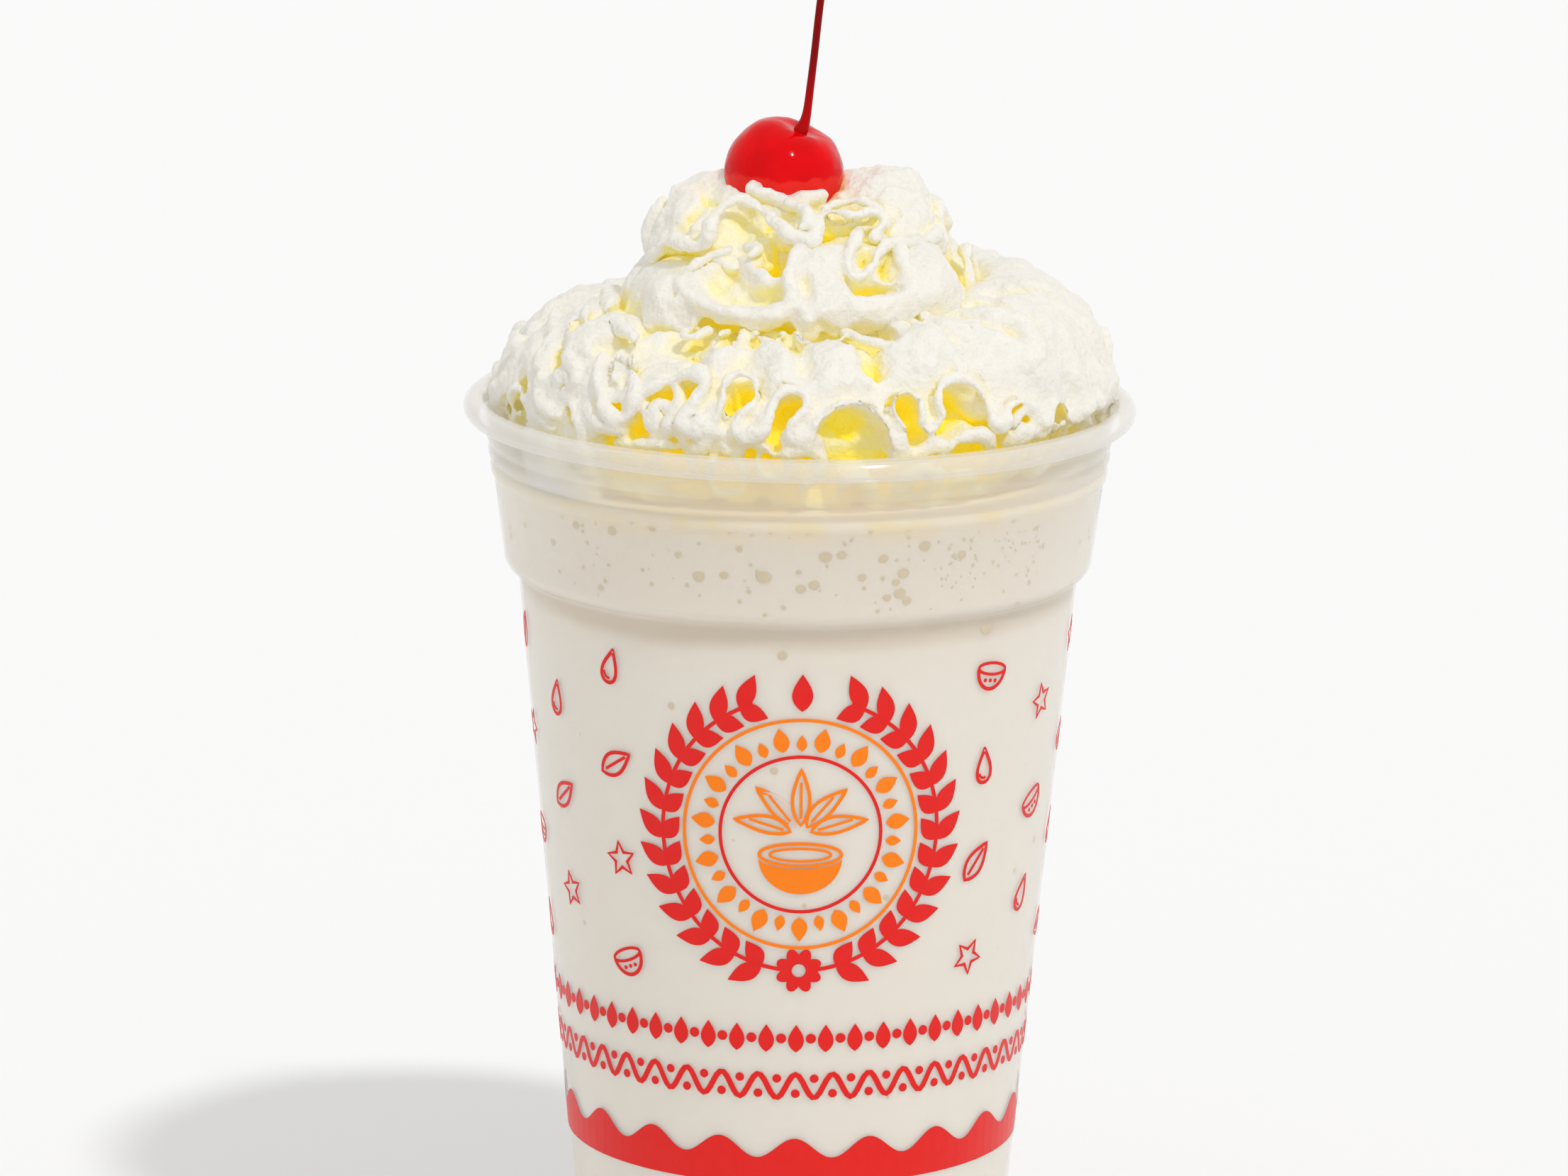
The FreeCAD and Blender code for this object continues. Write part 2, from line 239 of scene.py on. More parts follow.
print("helpers ready")

# %% [markdown]
# ## The white studio
# The floor is a matt white sheet, and the world lights everything evenly. What the camera sees
# of the world, straight or in a reflection, is as bright as the lit floor, so no horizon shows.

# %% Floor finish and world
ambient = 0.76
studio_white = colour(250, 250, 250)

floor_finish = Finish("floor_white")
coat(floor, floor_finish.surface(Base_Color=(0.92, 0.92, 0.92, 1), Roughness=1.0, Specular_IOR_Level=0.0))

scene.world = bpy.data.worlds.new("studio")
sky = Finish("studio", scene.world)
straight, mirrored, through = [
    sky.node("ShaderNodeLightPath", output="Is " + kind + " Ray")
    for kind in ("Camera", "Glossy", "Transmission")]
seen = straight.math("MAXIMUM", straight.math("MAXIMUM", straight, mirrored), through)
fill = sky.node("ShaderNodeBackground", {}, {"Color": (1, 1, 0.995, 1), "Strength": ambient})
backdrop = sky.node("ShaderNodeBackground", {}, {"Color": studio_white})
sky.end("ShaderNodeOutputWorld", sky.node("ShaderNodeMixShader", {}, {0: seen, 1: fill, 2: backdrop}))
print("fill light", ambient)

# %% [markdown]
# ## Selecting, joining and roughening
# An operator works on whatever is selected, so every step starts by selecting one piece alone.
# Pieces made one by one are joined when they share a finish. Food is never quite even, so a
# Displace modifier with a cloud texture gives it soft lumps, read in world space so that joined
# pieces share them.

# %% Small helpers
def only(piece):
    """Selects one object and makes it the active one."""
    bpy.ops.object.select_all(action="DESELECT")
    piece.select_set(True)
    bpy.context.view_layer.objects.active = piece


def joined(name, pieces):
    """Joins pieces into the first of them."""
    only(pieces[0])
    for piece in pieces:
        piece.select_set(True)
    bpy.ops.object.join()
    whole = bpy.context.object
    whole.name = name
    return whole


def roughen(piece, size, depth):
    """Gives a selected piece lumps of a size and a depth in mm."""
    clouds = bpy.data.textures.new("lumps", "CLOUDS")
    clouds.noise_scale = size * MM
    uneven = piece.modifiers.new("lumps", "DISPLACE")
    uneven.texture = clouds
    uneven.texture_coords = "GLOBAL"
    uneven.strength = depth * MM
    bpy.ops.object.modifier_apply(modifier=uneven.name)


print("small helpers ready")

# %% [markdown]
# ## Turning an outline
# Cup and drink are turned shapes. By hand: make one point, extrude it along the outline, then
# spin the line round the axis and merge the seam. This helper does that from a list of points
# (distance from the axis, height).

# %% The lathe
def turn(name, outline, steps):
    """Spins an outline of (radius, height) points, in metres, into a closed piece."""
    bpy.ops.object.select_all(action="DESELECT")
    bpy.ops.mesh.primitive_plane_add(size=MM)
    piece = bpy.context.object
    piece.name = name
    bpy.ops.object.mode_set(mode="EDIT")
    bpy.ops.mesh.merge(type="CENTER")
    bpy.ops.transform.translate(value=(outline[0][0], 0, outline[0][1]))
    for (radius, height), (next_radius, next_height) in zip(outline, outline[1:]):
        step = (next_radius - radius, 0, next_height - height)
        bpy.ops.mesh.extrude_region_move(TRANSFORM_OT_translate={"value": step})
    bpy.ops.mesh.select_all(action="SELECT")
    bpy.ops.mesh.spin(steps=steps, angle=2 * math.pi, center=(0, 0, 0), axis=(0, 0, 1))
    bpy.ops.mesh.select_all(action="SELECT")
    bpy.ops.mesh.remove_doubles(threshold=0.005 * MM)
    bpy.ops.mesh.normals_make_consistent(inside=False)
    bpy.ops.object.mode_set(mode="OBJECT")
    bpy.ops.object.shade_smooth()
    print(name, len(piece.data.polygons), "faces")
    return piece


def round_points(centre, radius, first_deg, last_deg, count):
    """Points along an arc of an outline."""
    angles = np.radians(np.linspace(first_deg, last_deg, count))
    return [(centre[0] + radius * math.cos(a), centre[1] + radius * math.sin(a)) for a in angles]


print("lathe ready")

# %% [markdown]
# ## The cup
# A cup like this is pressed from one thin sheet of clear plastic. The outline follows the
# inside face: over the pushed-up base, into the foot ring, up the tapered side, out over the
# shoulder, up the neck with its three stacking rings, and round the rolled lip. The outside
# face is the same line, moved out by the wall. It is a new piece because a finer turn than the
# CAD mesh keeps the reflections in the clear wall smooth.

# %% Cup outline
wall = 0.5 * MM
lip_tube = 1.7 * MM
lip_middle = cup_height - lip_tube
base_radius = 25.3 * MM
base_height = 3.0 * MM
foot_radius = 30.25 * MM
foot_rounding = 1.5 * MM
shoulder_radius = 40.85 * MM
neck_low_radius = 43.05 * MM
neck_high_radius = 45.45 * MM
neck_low = lip_middle - 21.5 * MM
ring_high = lip_middle - 2.7 * MM
ring_pitch = 2.5 * MM
ring_relief = 0.4 * MM
ring_count = 3
ring_low = ring_high - ring_count * ring_pitch


def neck_at(height):
    """Outside radius of the plain neck."""
    share = (height - neck_low) / (ring_high - neck_low)
    return neck_low_radius + share * (neck_high_radius - neck_low_radius)


def ring_points():
    """Three shallow bulges round the neck, each a half wave."""
    heights = np.linspace(ring_low, ring_high, 8 * ring_count + 1)
    waves = np.abs(np.sin(math.pi * (heights - ring_low) / ring_pitch))
    return [(neck_at(height) + ring_relief * wave, height) for height, wave in zip(heights, waves)]


bulge, hollow = 2.4 * MM, 1.2 * MM
shoulder_turn = math.degrees(math.acos(1 - (neck_low_radius - shoulder_radius) / (bulge + hollow)))
hollow_middle = neck_low - (bulge + hollow) * math.sin(math.radians(shoulder_turn))
outside = (
    [(0, base_height), (base_radius, base_height)]
    + round_points((base_radius, base_height - 0.8 * MM), 0.8 * MM, 90, 20, 5)
    + round_points((base_radius + 2.1 * MM, 0.9 * MM), 0.9 * MM, 190, 270, 5)
    + round_points((foot_radius - foot_rounding, foot_rounding), foot_rounding, 270, 360, 7)
    + round_points((shoulder_radius + hollow, hollow_middle), hollow, 180, 180 - shoulder_turn, 6)
    + round_points((neck_low_radius - bulge, neck_low), bulge, -shoulder_turn, 0, 9)[1:]
    + ring_points()
)
lip_centre = (lip_radius - lip_tube, lip_middle)
outside_lip = round_points(lip_centre, lip_tube - wall, 180, -110, 23)
inside_lip = round_points(lip_centre, lip_tube, -110, 180, 23)


def moved_in(points, distance):
    """The same outline, moved square to itself towards the inside of the cup."""
    line = np.array(points)
    ahead = np.gradient(line, axis=0)
    ahead /= np.linalg.norm(ahead, axis=1)[:, None]
    square = np.stack([-ahead[:, 1], ahead[:, 0]], axis=1)
    moved = line + distance * square
    moved[0] = (0, line[0][1] + distance)
    return [tuple(point) for point in moved]


inside = moved_in(outside, wall)
print("cup outline", len(outside) + len(outside_lip), "points a side")

# %% [markdown]
# ## The clear wall
# The outline runs up the outside face, round the lip, and back down the inside face, so one spin
# makes a closed cup. Thin plastic passes most light and is a little milky. Alpha does that
# without bending the light, so that the drink behind it stays bright. The wall is less clear
# where it is seen edge-on, and clearest at the lip, where nothing stands behind it.

# %% Cup
cup_outline = outside + outside_lip + inside_lip + inside[::-1]
cup = turn("clear_cup", cup_outline, 256)
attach(cup, "root")
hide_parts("cup")

plastic = Finish("clear_plastic")
edge_on = plastic.node("ShaderNodeLayerWeight", {}, {"Blend": 0.5}, output=1)
haze = plastic.noise(14 * MM, 3.0)
at_lip = plastic.run(plastic.along_axis(2), lip_middle - 2.5 * MM, lip_middle - 1 * MM)
coat(cup, plastic.surface(
    Base_Color=colour(243, 239, 233), Roughness=0.07 + 0.06 * haze, IOR=1.85,
    Alpha=0.3 + 0.08 * haze - 0.07 * at_lip + 0.35 * edge_on * edge_on))
print("plastic is milky, and less clear seen edge-on")

# %% [markdown]
# ## The shake
# The drink fills the cup to a few millimetres under the lip. Its skin reaches just into the
# wall, because a gap of air between drink and plastic would show as a film. A ramp over the
# height makes it pale beige, with a browner ring under the shoulder that is painted shade of the
# shoulder's bulge. Its top is yellower, most in patches in front: painted light of the yellow
# cream shining into the drink.

# %% Shake
into_wall = 0.12 * MM
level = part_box("milkshake")[1].z
drink_side = [point for point in moved_in(outside, wall - into_wall) if point[1] < level]
last_radius = neck_at(level) - wall + into_wall
shake = turn("shake", drink_side + [(last_radius, level), (0, level)], 192)
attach(shake, "root")
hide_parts("milkshake")


def shake_radius_at(height):
    """Radius of the shake's skin at a height above its foot."""
    side = np.array(drink_side[12:])
    return float(np.interp(height, side[:, 1], side[:, 0]))


shake_finish = Finish("shake_finish")
swirls = shake_finish.noise(16 * MM, 3.0)
foam = shake_finish.noise(1.6 * MM, 2.0)
ramp_foot = 108 * MM
ramp_length = level - ramp_foot
up_neck = (shake_finish.along_axis(2) - ramp_foot) * (1 / ramp_length) + 0.1 * (swirls - 0.5)
# The browner stops round 0.3 are painted shade under the shoulder's bulge; the yellower top stop is painted
# light from the cream.
shade = shake_finish.ramp(up_neck, [
    (0.0, colour(240, 234, 222)), (0.2, colour(238, 230, 214)), (0.29, colour(206, 184, 146)),
    (0.345, colour(210, 190, 154)), (0.41, colour(236, 226, 210)), (0.8, colour(236, 226, 206)),
    (1.0, colour(238, 226, 196))])
sideways = shake_finish.along_axis(0)
in_front = shake_finish.run(sideways * sideways, (24 * MM) ** 2, (38 * MM) ** 2, 1.0, 0.1)
patchy = shake_finish.run(shake_finish.noise(5 * MM, 2.0), 0.42, 0.58)
# Painted light: patches of the cream's yellow shining into the drink's top, only in front.
painted_cream_light = shake_finish.run(up_neck, 0.84, 1.0) * in_front * patchy
shade = shake_finish.mix(painted_cream_light, shade, colour(244, 220, 140))
mottled = shake_finish.mix(0.35 * foam, shade, colour(228, 214, 190))
coat(shake, shake_finish.surface(
    Base_Color=mottled, Roughness=0.45,
    Subsurface_Weight=0.3, Subsurface_Radius=(3, 2.5, 2), Subsurface_Scale=MM))
print("shake up to", round(level / MM, 1), "mm")

# %% [markdown]
# ## Outlines for the print
# Every mark of the print is a closed outline in millimetres, drawn flat. These helpers give the
# few kinds it needs: circles, ovals, pointed leaves, dots, and a line as a pen would draw it,
# which is the outline on both sides of the line.

# %% Outlines
inked = {"red_ink": [], "orange_ink": []}


def wall_radius_at(height):
    """Outside radius of the tapered wall at a height above its foot."""
    share = (height - 1.5 * MM) / (hollow_middle - 1.5 * MM)
    return foot_radius + share * (shoulder_radius - foot_radius)


def circle(radius, scallops=0, relief=0.0):
    """A fine circle, with petals round its edge when scallops are given."""
    angles = np.linspace(0, 2 * np.pi, 240, endpoint=False)
    reach = radius + relief * np.abs(np.sin(scallops * angles / 2))
    return np.column_stack([reach * np.cos(angles), reach * np.sin(angles)])


def oval(width, height, first_deg=0, last_deg=360, count=48):
    """An oval, or a part of one between two directions."""
    angles = np.radians(np.linspace(first_deg, last_deg, count, endpoint=last_deg - first_deg < 360))
    return np.column_stack([width / 2 * np.cos(angles), height / 2 * np.sin(angles)])


def leaf(length, width, bend=0.0):
    """A pointed leaf from the origin along the first axis, curled up by its bend."""
    share = np.linspace(0, 1, 13)
    half = width / 2 * np.sin(np.pi * share ** 0.8)
    spine = bend * share ** 2
    above = np.column_stack([length * share, spine + half])
    below = np.column_stack([length * share, spine - half])
    return np.concatenate([above[:-1], below[:0:-1]])


def dot(radius):
    """A small round dot."""
    return oval(2 * radius, 2 * radius, count=18)


def placed(outline, right=0.0, up=0.0, turn_deg=0.0):
    """An outline, turned and then moved."""
    angle = math.radians(turn_deg)
    spin = np.array([[math.cos(angle), math.sin(angle)], [-math.sin(angle), math.cos(angle)]])
    return np.asarray(outline) @ spin + [right, up]


def pen_line(points, width, closed=True):
    """Outlines of a line drawn with a pen of this width."""
    points = np.asarray(points, dtype=float)
    before = np.roll(points, 1, axis=0) if closed else np.concatenate([points[:1], points[:-1]])
    after = np.roll(points, -1, axis=0) if closed else np.concatenate([points[1:], points[-1:]])
    ahead = after - before
    ahead /= np.linalg.norm(ahead, axis=1)[:, None]
    offset = width / 2 * np.column_stack([-ahead[:, 1], ahead[:, 0]])
    if closed:
        return [points + offset, points - offset]
    return [np.concatenate([points + offset, (points - offset)[::-1]])]


print("outline helpers ready")

# %% [markdown]
# ## Ink on the wall
# The print is pushed through a stencil, one colour at a time, and the ink stands a few hundredths
# of a millimetre proud of the plastic. By hand: draw a flat closed curve, give it a little
# thickness, turn it into a mesh, slice it into strips so that it can bend, and wrap the strips
# round the wall. The stamp does the same.

# %% Stamp
ink_proud = 0.04
ink_sunk = 0.03
strip_width = 2.2


def stamp(outlines, ink, degrees_round=270.0, height=0.0, proud=ink_proud):
    """Ink in the shape of closed outlines, wrapped round the wall at a place on it."""
    drawing = bpy.data.curves.new("ink", "CURVE")
    drawing.dimensions = "2D"
    drawing.fill_mode = "BOTH"
    drawing.extrude = 0.5
    for outline in outlines:
        line = drawing.splines.new("POLY")
        line.points.add(len(outline) - 1)
        rows = np.column_stack([outline, np.zeros(len(outline)), np.ones(len(outline))])
        line.points.foreach_set("co", rows.ravel())
        line.use_cyclic_u = True
    piece = bpy.data.objects.new("ink", drawing)
    scene.collection.objects.link(piece)
    only(piece)
    bpy.ops.object.convert(target="MESH")
    bpy.ops.object.mode_set(mode="EDIT")
    bpy.ops.mesh.select_all(action="SELECT")
    bpy.ops.mesh.remove_doubles(threshold=0.001)
    across = np.concatenate(outlines)[:, 0]
    for cut in np.arange(across.min() + 2.0, across.max(), strip_width):
        bpy.ops.mesh.select_all(action="SELECT")
        bpy.ops.mesh.bisect(plane_co=(cut, 0, 0), plane_no=(1, 0, 0))
    bpy.ops.mesh.select_all(action="SELECT")
    bpy.ops.mesh.normals_make_consistent(inside=False)
    bpy.ops.object.mode_set(mode="OBJECT")
    for vertex in piece.data.vertices:
        right, up, depth = vertex.co
        z = (height + up) * MM
        reach = wall_radius_at(z)
        angle = math.radians(degrees_round) + right * MM / reach
        reach += (proud if depth > 0 else -ink_sunk) * MM
        vertex.co = (reach * math.cos(angle), reach * math.sin(angle), z)
    inked[ink].append(piece)


print("stamp ready")

# %% [markdown]
# ## The wreath in front
# The picture on the front is half a coconut under a fan of palm leaves, inside two thin rings
# with a circle of rays between them. A wreath stands round it: two bent stalks that start at a
# small flower below, each with a leaf to the left and to the right at every step, and a bud in
# the gap at the top. The flower is a little more proud than the stalks that it covers.

# %% Wreath
front_deg = 271.2
wreath = {"degrees_round": front_deg, "height": 86.5}
wreath_radius = 20.6
stamp([circle(17.4), circle(16.9)], "orange_ink", **wreath)
stamp([circle(11.9), circle(11.4)], "red_ink", **wreath)
for number in range(30):
    far, wide = ((16.2, 2.3), (14.9, 1.5))[number % 2]
    ray = placed(leaf(far - 12.5, wide), 12.5)
    stamp([placed(ray, turn_deg=12 * number + 6)], "orange_ink", **wreath)

for side_sign in (-1, 1):
    around = np.radians(270 + side_sign * np.linspace(4, 160, 48))
    stalk_line = wreath_radius * np.column_stack([np.cos(around), np.sin(around)])
    stamp(pen_line(stalk_line, 0.6, closed=False), "red_ink", **wreath)
    for number in range(13):
        way = 270 + side_sign * (15 + 11.6 * number)
        right = wreath_radius * math.cos(math.radians(way))
        up = wreath_radius * math.sin(math.radians(way))
        for lean, length in ((42, 5.6), (-42, 4.3)):
            blade = placed(leaf(length, 2.7), right, up, way + side_sign * (90 - lean))
            stamp([blade], "red_ink", **wreath)
stamp([placed(leaf(5.6, 3.0), 0, 18.4, 90)], "red_ink", **wreath)
flower = [placed(circle(2.4, 8, 1.0), 0, -wreath_radius), placed(circle(1.0), 0, -wreath_radius)]
stamp(flower, "red_ink", proud=0.07, **wreath)
print("wreath of", len(inked["red_ink"]), "red and", len(inked["orange_ink"]), "orange shapes")

# %% [markdown]
# ## Half coconut and palm leaves
# The bowl of the coconut is one filled shape, closed by the near edge of its opening, and two
# ovals draw the rim. Each palm leaf is a curled leaf drawn with a pen, and a rib inside it.

# %% Half coconut and palm leaves
fruit = {"degrees_round": front_deg, "height": 82.9}
bowl = np.concatenate([oval(12.0, 10.8, 180, 360), oval(12.0, 3.2, 360, 180)[1:-1]])
stamp([bowl], "orange_ink", **fruit)
for width, height, pen in ((11.8, 3.4, 0.5), (8.8, 1.9, 0.4)):
    stamp([placed(o, 0, 0.5) for o in pen_line(oval(width, height), pen)], "orange_ink", **fruit)
for turn_deg, length in ((22, 8.2), (56, 7.8), (90, 8.4), (123, 7.9), (158, 8.2)):
    palm = placed(leaf(length, 2.5, 1.6 if turn_deg > 90 else -1.6 * (turn_deg < 90)), 1.6)
    rib = np.column_stack([np.linspace(2.6, length - 0.4, 6), np.zeros(6)])
    rib[:, 1] += (palm[:, 1].mean()) * ((rib[:, 0] - 1.6) / length) * 1.5
    for lines in (pen_line(palm[::-1], 0.5), pen_line(rib, 0.4, closed=False)):
        stamp([placed(outline, 0, 3.4, turn_deg) for outline in lines], "orange_ink", **fruit)
print("orange shapes:", len(inked["orange_ink"]))

# %% [markdown]
# ## Borders
# Three borders run round the cup and stop short of each other at the back, where a stencil
# starts and ends: a row of buds and dots, a wavy line with dots in its bends, and a solid band
# with a waved top.

# %% Borders
border_deg = 270.8


def half_round(height):
    """Length of print from the middle of the front to just short of the middle of the back."""
    return math.radians(174) * wall_radius_at(height * MM) / MM


bud_height, bud_step = 55.5, 2.15
steps = int(half_round(bud_height) / bud_step)
bud = placed(leaf(4.2, 2.3), -2.1)
stamp([placed(dot(0.75) if number % 2 else bud, bud_step * number, 0, 90)
       for number in range(-steps, steps + 1)], "red_ink", border_deg, bud_height)

bends_height, bend_length = 48.2, 5.4
reach = half_round(bends_height)
sweep = np.linspace(-reach, reach, int(4 * reach))
bends = np.column_stack([sweep, 1.8 * np.cos(2 * np.pi * sweep / bend_length)])
stamp(pen_line(bends, 0.85, closed=False), "red_ink", border_deg, bends_height)
steps = int(reach / (bend_length / 2))
stamp([placed(dot(0.65), bend_length / 2 * number, -1.15 if number % 2 == 0 else 1.15)
       for number in range(-steps + 1, steps)], "red_ink", border_deg, bends_height)

band_height = 33.0
reach = half_round(band_height)
sweep = np.linspace(-reach, reach, int(4 * reach))
crest = 5.6 + 1.5 * np.cos(2 * np.pi * sweep / 11.0)
run_out = np.clip((reach - np.abs(sweep)) / 9, 0, 1) ** 0.6
waves = np.column_stack([sweep, crest * run_out])
stamp([np.concatenate([waves, [[reach, 0.0], [-reach, 0.0]]])], "red_ink", border_deg, band_height)
print("red shapes:", len(inked["red_ink"]))

# %% [markdown]
# ## Small drawings
# Each drawing is a pen line round a simple shape with one or two strokes inside it. The strokes
# inside are a little more proud, so that they don't fight with the outline where they meet it.
# Columns start beside the wreath and go round the back, and the tilt changes from one to the next.

# %% Small drawings
star = np.array([(math.cos(a) * r, math.sin(a) * r) for a, r in zip(
    np.radians(90 + 36 * np.arange(10)), [2.6, 1.2] * 5)])
drop_angles = np.linspace(0, 2 * np.pi, 40, endpoint=False)
drop_width = 1.9 * np.sin(drop_angles) * np.sin(drop_angles / 2) ** 1.4
drop = np.column_stack([drop_width, 2.6 * np.cos(drop_angles)])
drop_shine = placed(oval(2.0, 2.4, 200, 290, 9), 0, -0.7)
drawings = {
    "star": pen_line(star, 0.55),
    "leaf": (pen_line(placed(leaf(6.4, 3.2), -3.2)[::-1], 0.55)
             + pen_line([(-2.3, 0), (0, 0), (2.2, 0)], 0.45, closed=False)),
    "drop": pen_line(drop, 0.55) + pen_line(drop_shine, 0.4, closed=False),
    "coconut": (pen_line(oval(5.4, 1.7), 0.45)
                + pen_line(oval(5.4, 6.0, 183, 357), 0.55, closed=False)
                + [placed(dot(0.3), x, -1.75) for x in (-1.0, 0, 1.0)]),
}
names = ["star", "leaf", "drop", "coconut"]
column_step, row_step = 19.57, 14.5
for column in range(15):
    for row in range(4 - column % 2):
        number = 4 * column + row
        height = 65.5 + row_step * row + row_step / 2 * (column % 2)
        kind = names[(2 * column + row + column // 2) % 4]
        tilt = (47 * number) % 60 - 30 + (35 if kind == "leaf" else 0)
        shape = [placed(outline, 0, 0, tilt) for outline in drawings[kind]]
        around_deg = front_deg + 43 + column_step * column
        stamp(shape[:2], "red_ink", around_deg, height)
        for extra in shape[2:]:
            stamp([extra], "red_ink", around_deg, height, proud=0.05)
print("red shapes:", len(inked["red_ink"]))

# %% [markdown]
# ## Ink finish
# All shapes of one ink become one piece. Ink is smooth and slightly glossy, and where it lies
# thinner it is paler, so soft noise mixes a paler tint in.

# %% Ink finish
for ink, tint, pale in (
        ("red_ink", colour(224, 18, 14), colour(232, 60, 48)),
        ("orange_ink", colour(250, 124, 0), colour(252, 150, 40))):
    printed = joined(ink, inked[ink])
    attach(printed, "root")
    print_finish = Finish(ink)
    patches = print_finish.noise(2.5 * MM, 3.0)
    coat(printed, print_finish.surface(
        Base_Color=print_finish.mix(0.25 * patches, tint, pale), Roughness=0.35, Specular_IOR_Level=0.25))
    print(ink, len(printed.data.polygons), "faces")

# %% [markdown]
# ## The rope of cream
# A star nozzle presses out a thick rope of whipped cream, which is wound up in a climbing
# spiral. Its skin hangs down on the outside like a skirt, and because the outside of a bend is
# longer than its middle, the skirt's hem is too long and folds to and fro. Under the hem lie
# deep hollows. The rope's line is given by a few stations, and it is the line that the CAD
# solid follows.

# %% Rope line
lip_top = cup_height / MM
rope_stations = np.array([
    # turns, from the axis, over the lip, radius: all but the first in mm
    (0.00, 31.5, -2.0, 13.0),
    (0.50, 30.0, 0.5, 13.5),
    (0.75, 29.3, 1.2, 13.2),
    (1.00, 30.5, 4.2, 14.4),
    (1.50, 17.0, 10.0, 11.5),
    (2.00, 14.0, 16.0, 11.5),
    (2.50, 10.8, 22.3, 11.0),
    (2.75, 10.5, 19.8, 9.8),
    (3.00, 10.4, 23.6, 10.2),
    (3.10, 10.4, 23.6, 10.2),
])


def rope_at(turns):
    """Distance from the axis, height and radius of the rope, in mm, after so many turns."""
    turns = np.clip(turns, rope_stations[0, 0], rope_stations[-1, 0])
    after = np.clip(np.searchsorted(rope_stations[:, 0], turns), 1, len(rope_stations) - 1)
    first, last = rope_stations[after - 1], rope_stations[after]
    share = (turns - first[..., 0]) / (last[..., 0] - first[..., 0])
    ease = (share * share * (3 - 2 * share))[..., None]
    reach, height, radius = np.moveaxis((first + ease * (last - first))[..., 1:], -1, 0)
    return reach, lip_top + height, radius


def beside_rope(turns, slope, distance):
    """Points beside the rope's middle; slope is the angle up from straight outwards."""
    reach, height, _ = rope_at(turns)
    out = reach + distance * np.cos(slope)
    angle = 2 * np.pi * turns
    return np.stack([out * np.cos(angle), out * np.sin(angle), height + distance * np.sin(slope)], axis=-1)


def along(turns, pairs):
    """A value that is given at a few places along the rope, and runs evenly between them."""
    places, values = zip(*pairs)
    return np.interp(turns, places, values)


def eased(share):
    """0 to 1 with a soft start and end."""
    share = np.clip(share, 0, 1)
    return share * share * (3 - 2 * share)


def skin_mesh(name, rings):
    """A closed mesh from rings of points in mm, one after another, with a cap on each end."""
    count, size = rings.shape[:2]
    first = np.arange(count - 1)[:, None] * size
    here = np.arange(size)[None, :]
    after = (here + 1) % size
    quads = np.stack([first + here, first + after, first + size + after, first + size + here], axis=-1)
    faces = quads.reshape(-1, 4).tolist()
    faces.append(list(range(size))[::-1])
    faces.append(list(range((count - 1) * size, count * size)))
    mesh = bpy.data.meshes.new(name)
    mesh.from_pydata((rings.reshape(-1, 3) * MM).tolist(), [], faces)
    piece = bpy.data.objects.new(name, mesh)
    scene.collection.objects.link(piece)
    return piece


print("rope of", rope_stations[-1, 0], "turns")

# %% [markdown]
# ## Folded lines
# A folded hem has the shape of a river's bends: its direction swings to and fro as a sine of
# the length walked, and past a right angle the bends close up into loops. Every line is kept
# as turns along the rope and slope round it.

# %% Folded lines
def bessel(bend):
    """Share of the walked length that a folded line gets ahead, for its largest swing."""
    square = bend * bend / 4
    return 1 - square + square ** 2 / 4 - square ** 3 / 36 + square ** 4 / 576


def folded_line(start, end, slope_deg, fold_length, bend, uneven=0.2, seed=1):
    """A line of folds along the rope. slope_deg is a list of (turns, value)."""
    random = np.random.default_rng(seed)
    stride = 0.35
    turns, across, phase, half = start, 0.0, 0.0, -1
    points = []
    while turns < end:
        if int(phase / np.pi) != half:
            half = int(phase / np.pi)
            stretch = np.exp(uneven * random.normal())
            swing = min(bend * (1 + 0.4 * uneven * random.normal()), 2.15)
        period = fold_length * stretch / max(bessel(swing), 0.1)
        phase += 2 * np.pi * stride / period
        direction = swing * np.sin(phase)
        reach, _, radius = (float(value) for value in rope_at(np.array(turns)))
        slope = np.radians(along(turns, slope_deg))
        turns += stride * np.cos(direction) / (2 * np.pi * (reach + radius * np.cos(slope)))
        across = (across + stride * np.sin(direction)) * 0.996
        points.append((turns, slope + across / radius))
    return np.array(points)


print("folded lines ready")

# %% [markdown]
# ## Drawn lines
# Where the folds should lie just so, a line was sketched in the front view and carried over to
# the rope's skin instead. A few places of it are given, and a smooth curve runs through all of
# them, as a curve object with automatic handles does. The places are in degrees round the cup,
# which go on past 360 from turn to turn, and in degrees of slope round the rope.

# %% Drawn lines
def smooth_way(points, closed=False, steps=8):
    """A smooth line through all the points of a table."""
    points = np.array(points, dtype=float)
    if closed:
        padded = np.concatenate([points[-1:], points, points[:2]])
    else:
        padded = np.concatenate([points[:1], points, points[-1:]])
    shares = np.linspace(0, 1, steps, endpoint=False)[:, None]
    pieces = []
    for before, here, there, beyond in zip(padded, padded[1:], padded[2:], padded[3:]):
        pieces.append(0.5 * (2 * here + (there - before) * shares
                             + (2 * before - 5 * here + 4 * there - beyond) * shares ** 2
                             + (3 * here - before - 3 * there + beyond) * shares ** 3))
    return np.concatenate(pieces + [points[:1] if closed else points[-1:]])


def drawn_line(places, closed=False):
    """A smooth line through places given as (degrees round, slope in degrees)."""
    way = np.radians(smooth_way(places, closed))
    way[:, 0] /= 2 * np.pi
    return way


def spot(degrees_round, slope_deg):
    """A single place on the rope, for a round pad."""
    return np.array([[degrees_round / 360, np.radians(slope_deg)]])


def flat(places):
    """Turns and slopes as mm along and mm round the rope, to measure distances."""
    reach, _, radius = rope_at(places[..., 0])
    along_rope = places[..., 0] * 2 * np.pi * (reach + 0.9 * radius)
    return np.stack([along_rope, places[..., 1] * radius], axis=-1)


print("drawn lines ready")

# %% [markdown]
# ## Strands and sheets
# A fold of cream ends in a rounded edge and has a thin wall behind it. The edge is a strand: a
# ring of points carried along the line, thinner at its ends. The wall is a flat strip under the
# same line, which reaches down into the rope.

